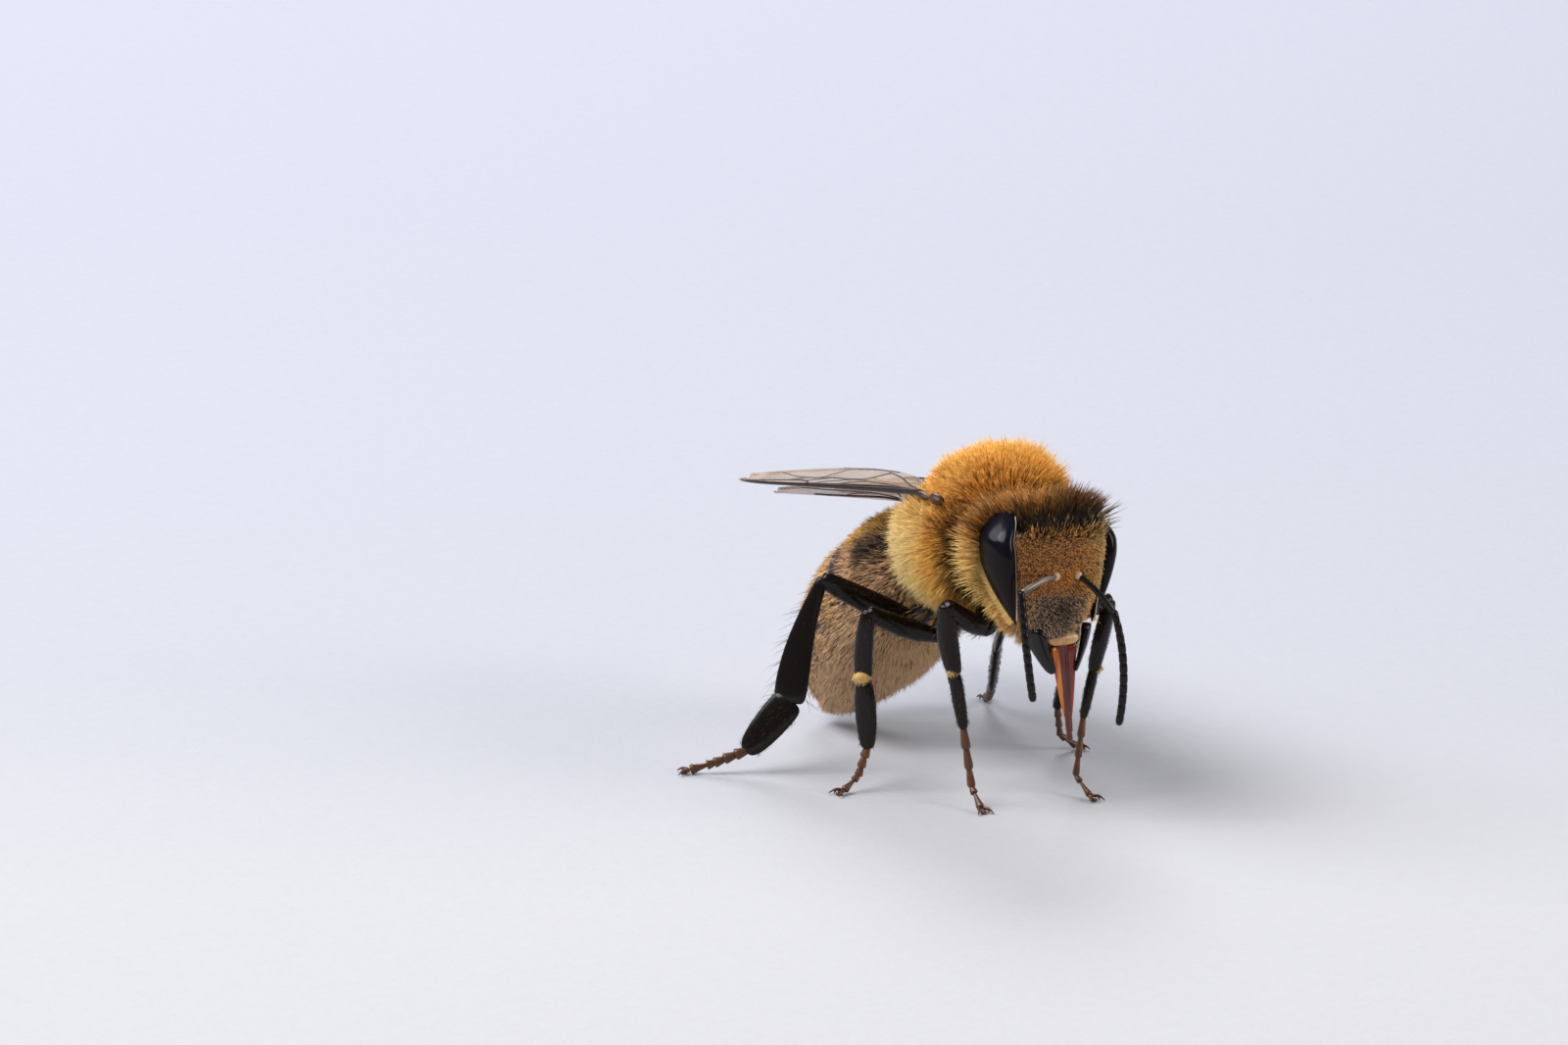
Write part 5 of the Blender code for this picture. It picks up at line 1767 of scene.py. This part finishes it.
def makeStage():
    deselectAll()
    bpy.ops.mesh.primitive_plane_add(size=studio["floorSize"])
    floor = bpy.context.object
    floor.name = "floor"
    floor.data.materials.append(makeFloorFinish())
    bpy.context.scene.view_settings.view_transform = "Standard"
    world = bpy.data.worlds.new("softRoom")
    bpy.context.scene.world = world
    world.use_nodes = True
    colour, strength = studio["world"]
    background = world.node_tree.nodes["Background"]
    background.inputs["Color"].default_value = (*colour, 1)
    background.inputs["Strength"].default_value = strength
    for number, (place, size, power, colour) in enumerate(studio["lights"], start=1):
        bpy.ops.object.light_add(type="AREA", location=Vector(place) * 0.001)
        light = bpy.context.object
        light.name = "softLight%d" % number
        light.data.shape = "DISK"
        light.data.size = size * 0.001
        light.data.energy = power
        light.data.color = colour
        aim = Vector(studio["lightAim"]) - Vector(place)
        light.rotation_euler = aim.to_track_quat("-Z", "Y").to_euler()


def makeCamera():
    place = Vector(studio["cameraPlace"]) * 0.001
    aim = Vector(studio["cameraAim"]) * 0.001
    bpy.ops.object.camera_add(location=place)
    camera = bpy.context.object
    camera.name = "beeCamera"
    camera.data.lens = studio["lens"]
    camera.data.sensor_width = studio["sensor"]
    camera.data.clip_start, camera.data.clip_end = studio["clip"]
    turn = (aim - place).to_track_quat("-Z", "Y")
    camera.rotation_euler = (turn.to_matrix()
                             @ Matrix.Rotation(math.radians(studio["roll"]), 3, "Z")).to_euler()
    bpy.context.scene.camera = camera


bodyHair = makeCoatFinish("goldenHair", 0.08)
faceHair = makeCoatFinish("faceHair", 0.01)
shellFinish = makeShellFinish("blackShell")
# painted highlight: the bee's right scape is painted pale, as lit, the left keeps the dark shell
scapeFinishes = {"right": makeShellFinish("paintedLitScape"), "left": makeShellFinish("darkScape")}
galeaFinishes = {"right": makeTongueFinish("amberGalea"), "left": makeTongueFinish("redGalea")}
wingFinish = makeWingFinish()
veinFinish = makeShellFinish("wingVein")

makeSkin(makeSkinFinish())
makePlates(makePlateFinish())
print("skin and plates done")
makeEyes(makeEyeFinish(), makeShellFinish("paintedHighlightRim"))
makeFeelers(scapeFinishes, shellFinish, makeShellFinish("socketKnob"))
makeMouth(makeShellFinish("jawShell"), makeShellFinish("labrumShell"), galeaFinishes,
          makeTongueFinish("tongueShell"))
print("head done")
for word, side in sides:
    makeWing("fore", word, side, wingFinish, veinFinish, foreVeins)
    makeWing("hind", word, side, wingFinish, veinFinish, hindVeins)
makeShoulders(makeShellFinish("tegulaShell"))
print("wings done")
makeLegs(shellFinish, makeShellFinish("tarsusShell"), makeShellFinish("paleJoint"), faceHair)
print("legs done")
growThoraxCoat(bodyHair)
growHeadCoat(faceHair)
growEyeFringe(faceHair)
growAbdomenCoat(bodyHair)
growLegCoat(bodyHair)
print("coat done")
makeStage()
makeCamera()
print("stage done")
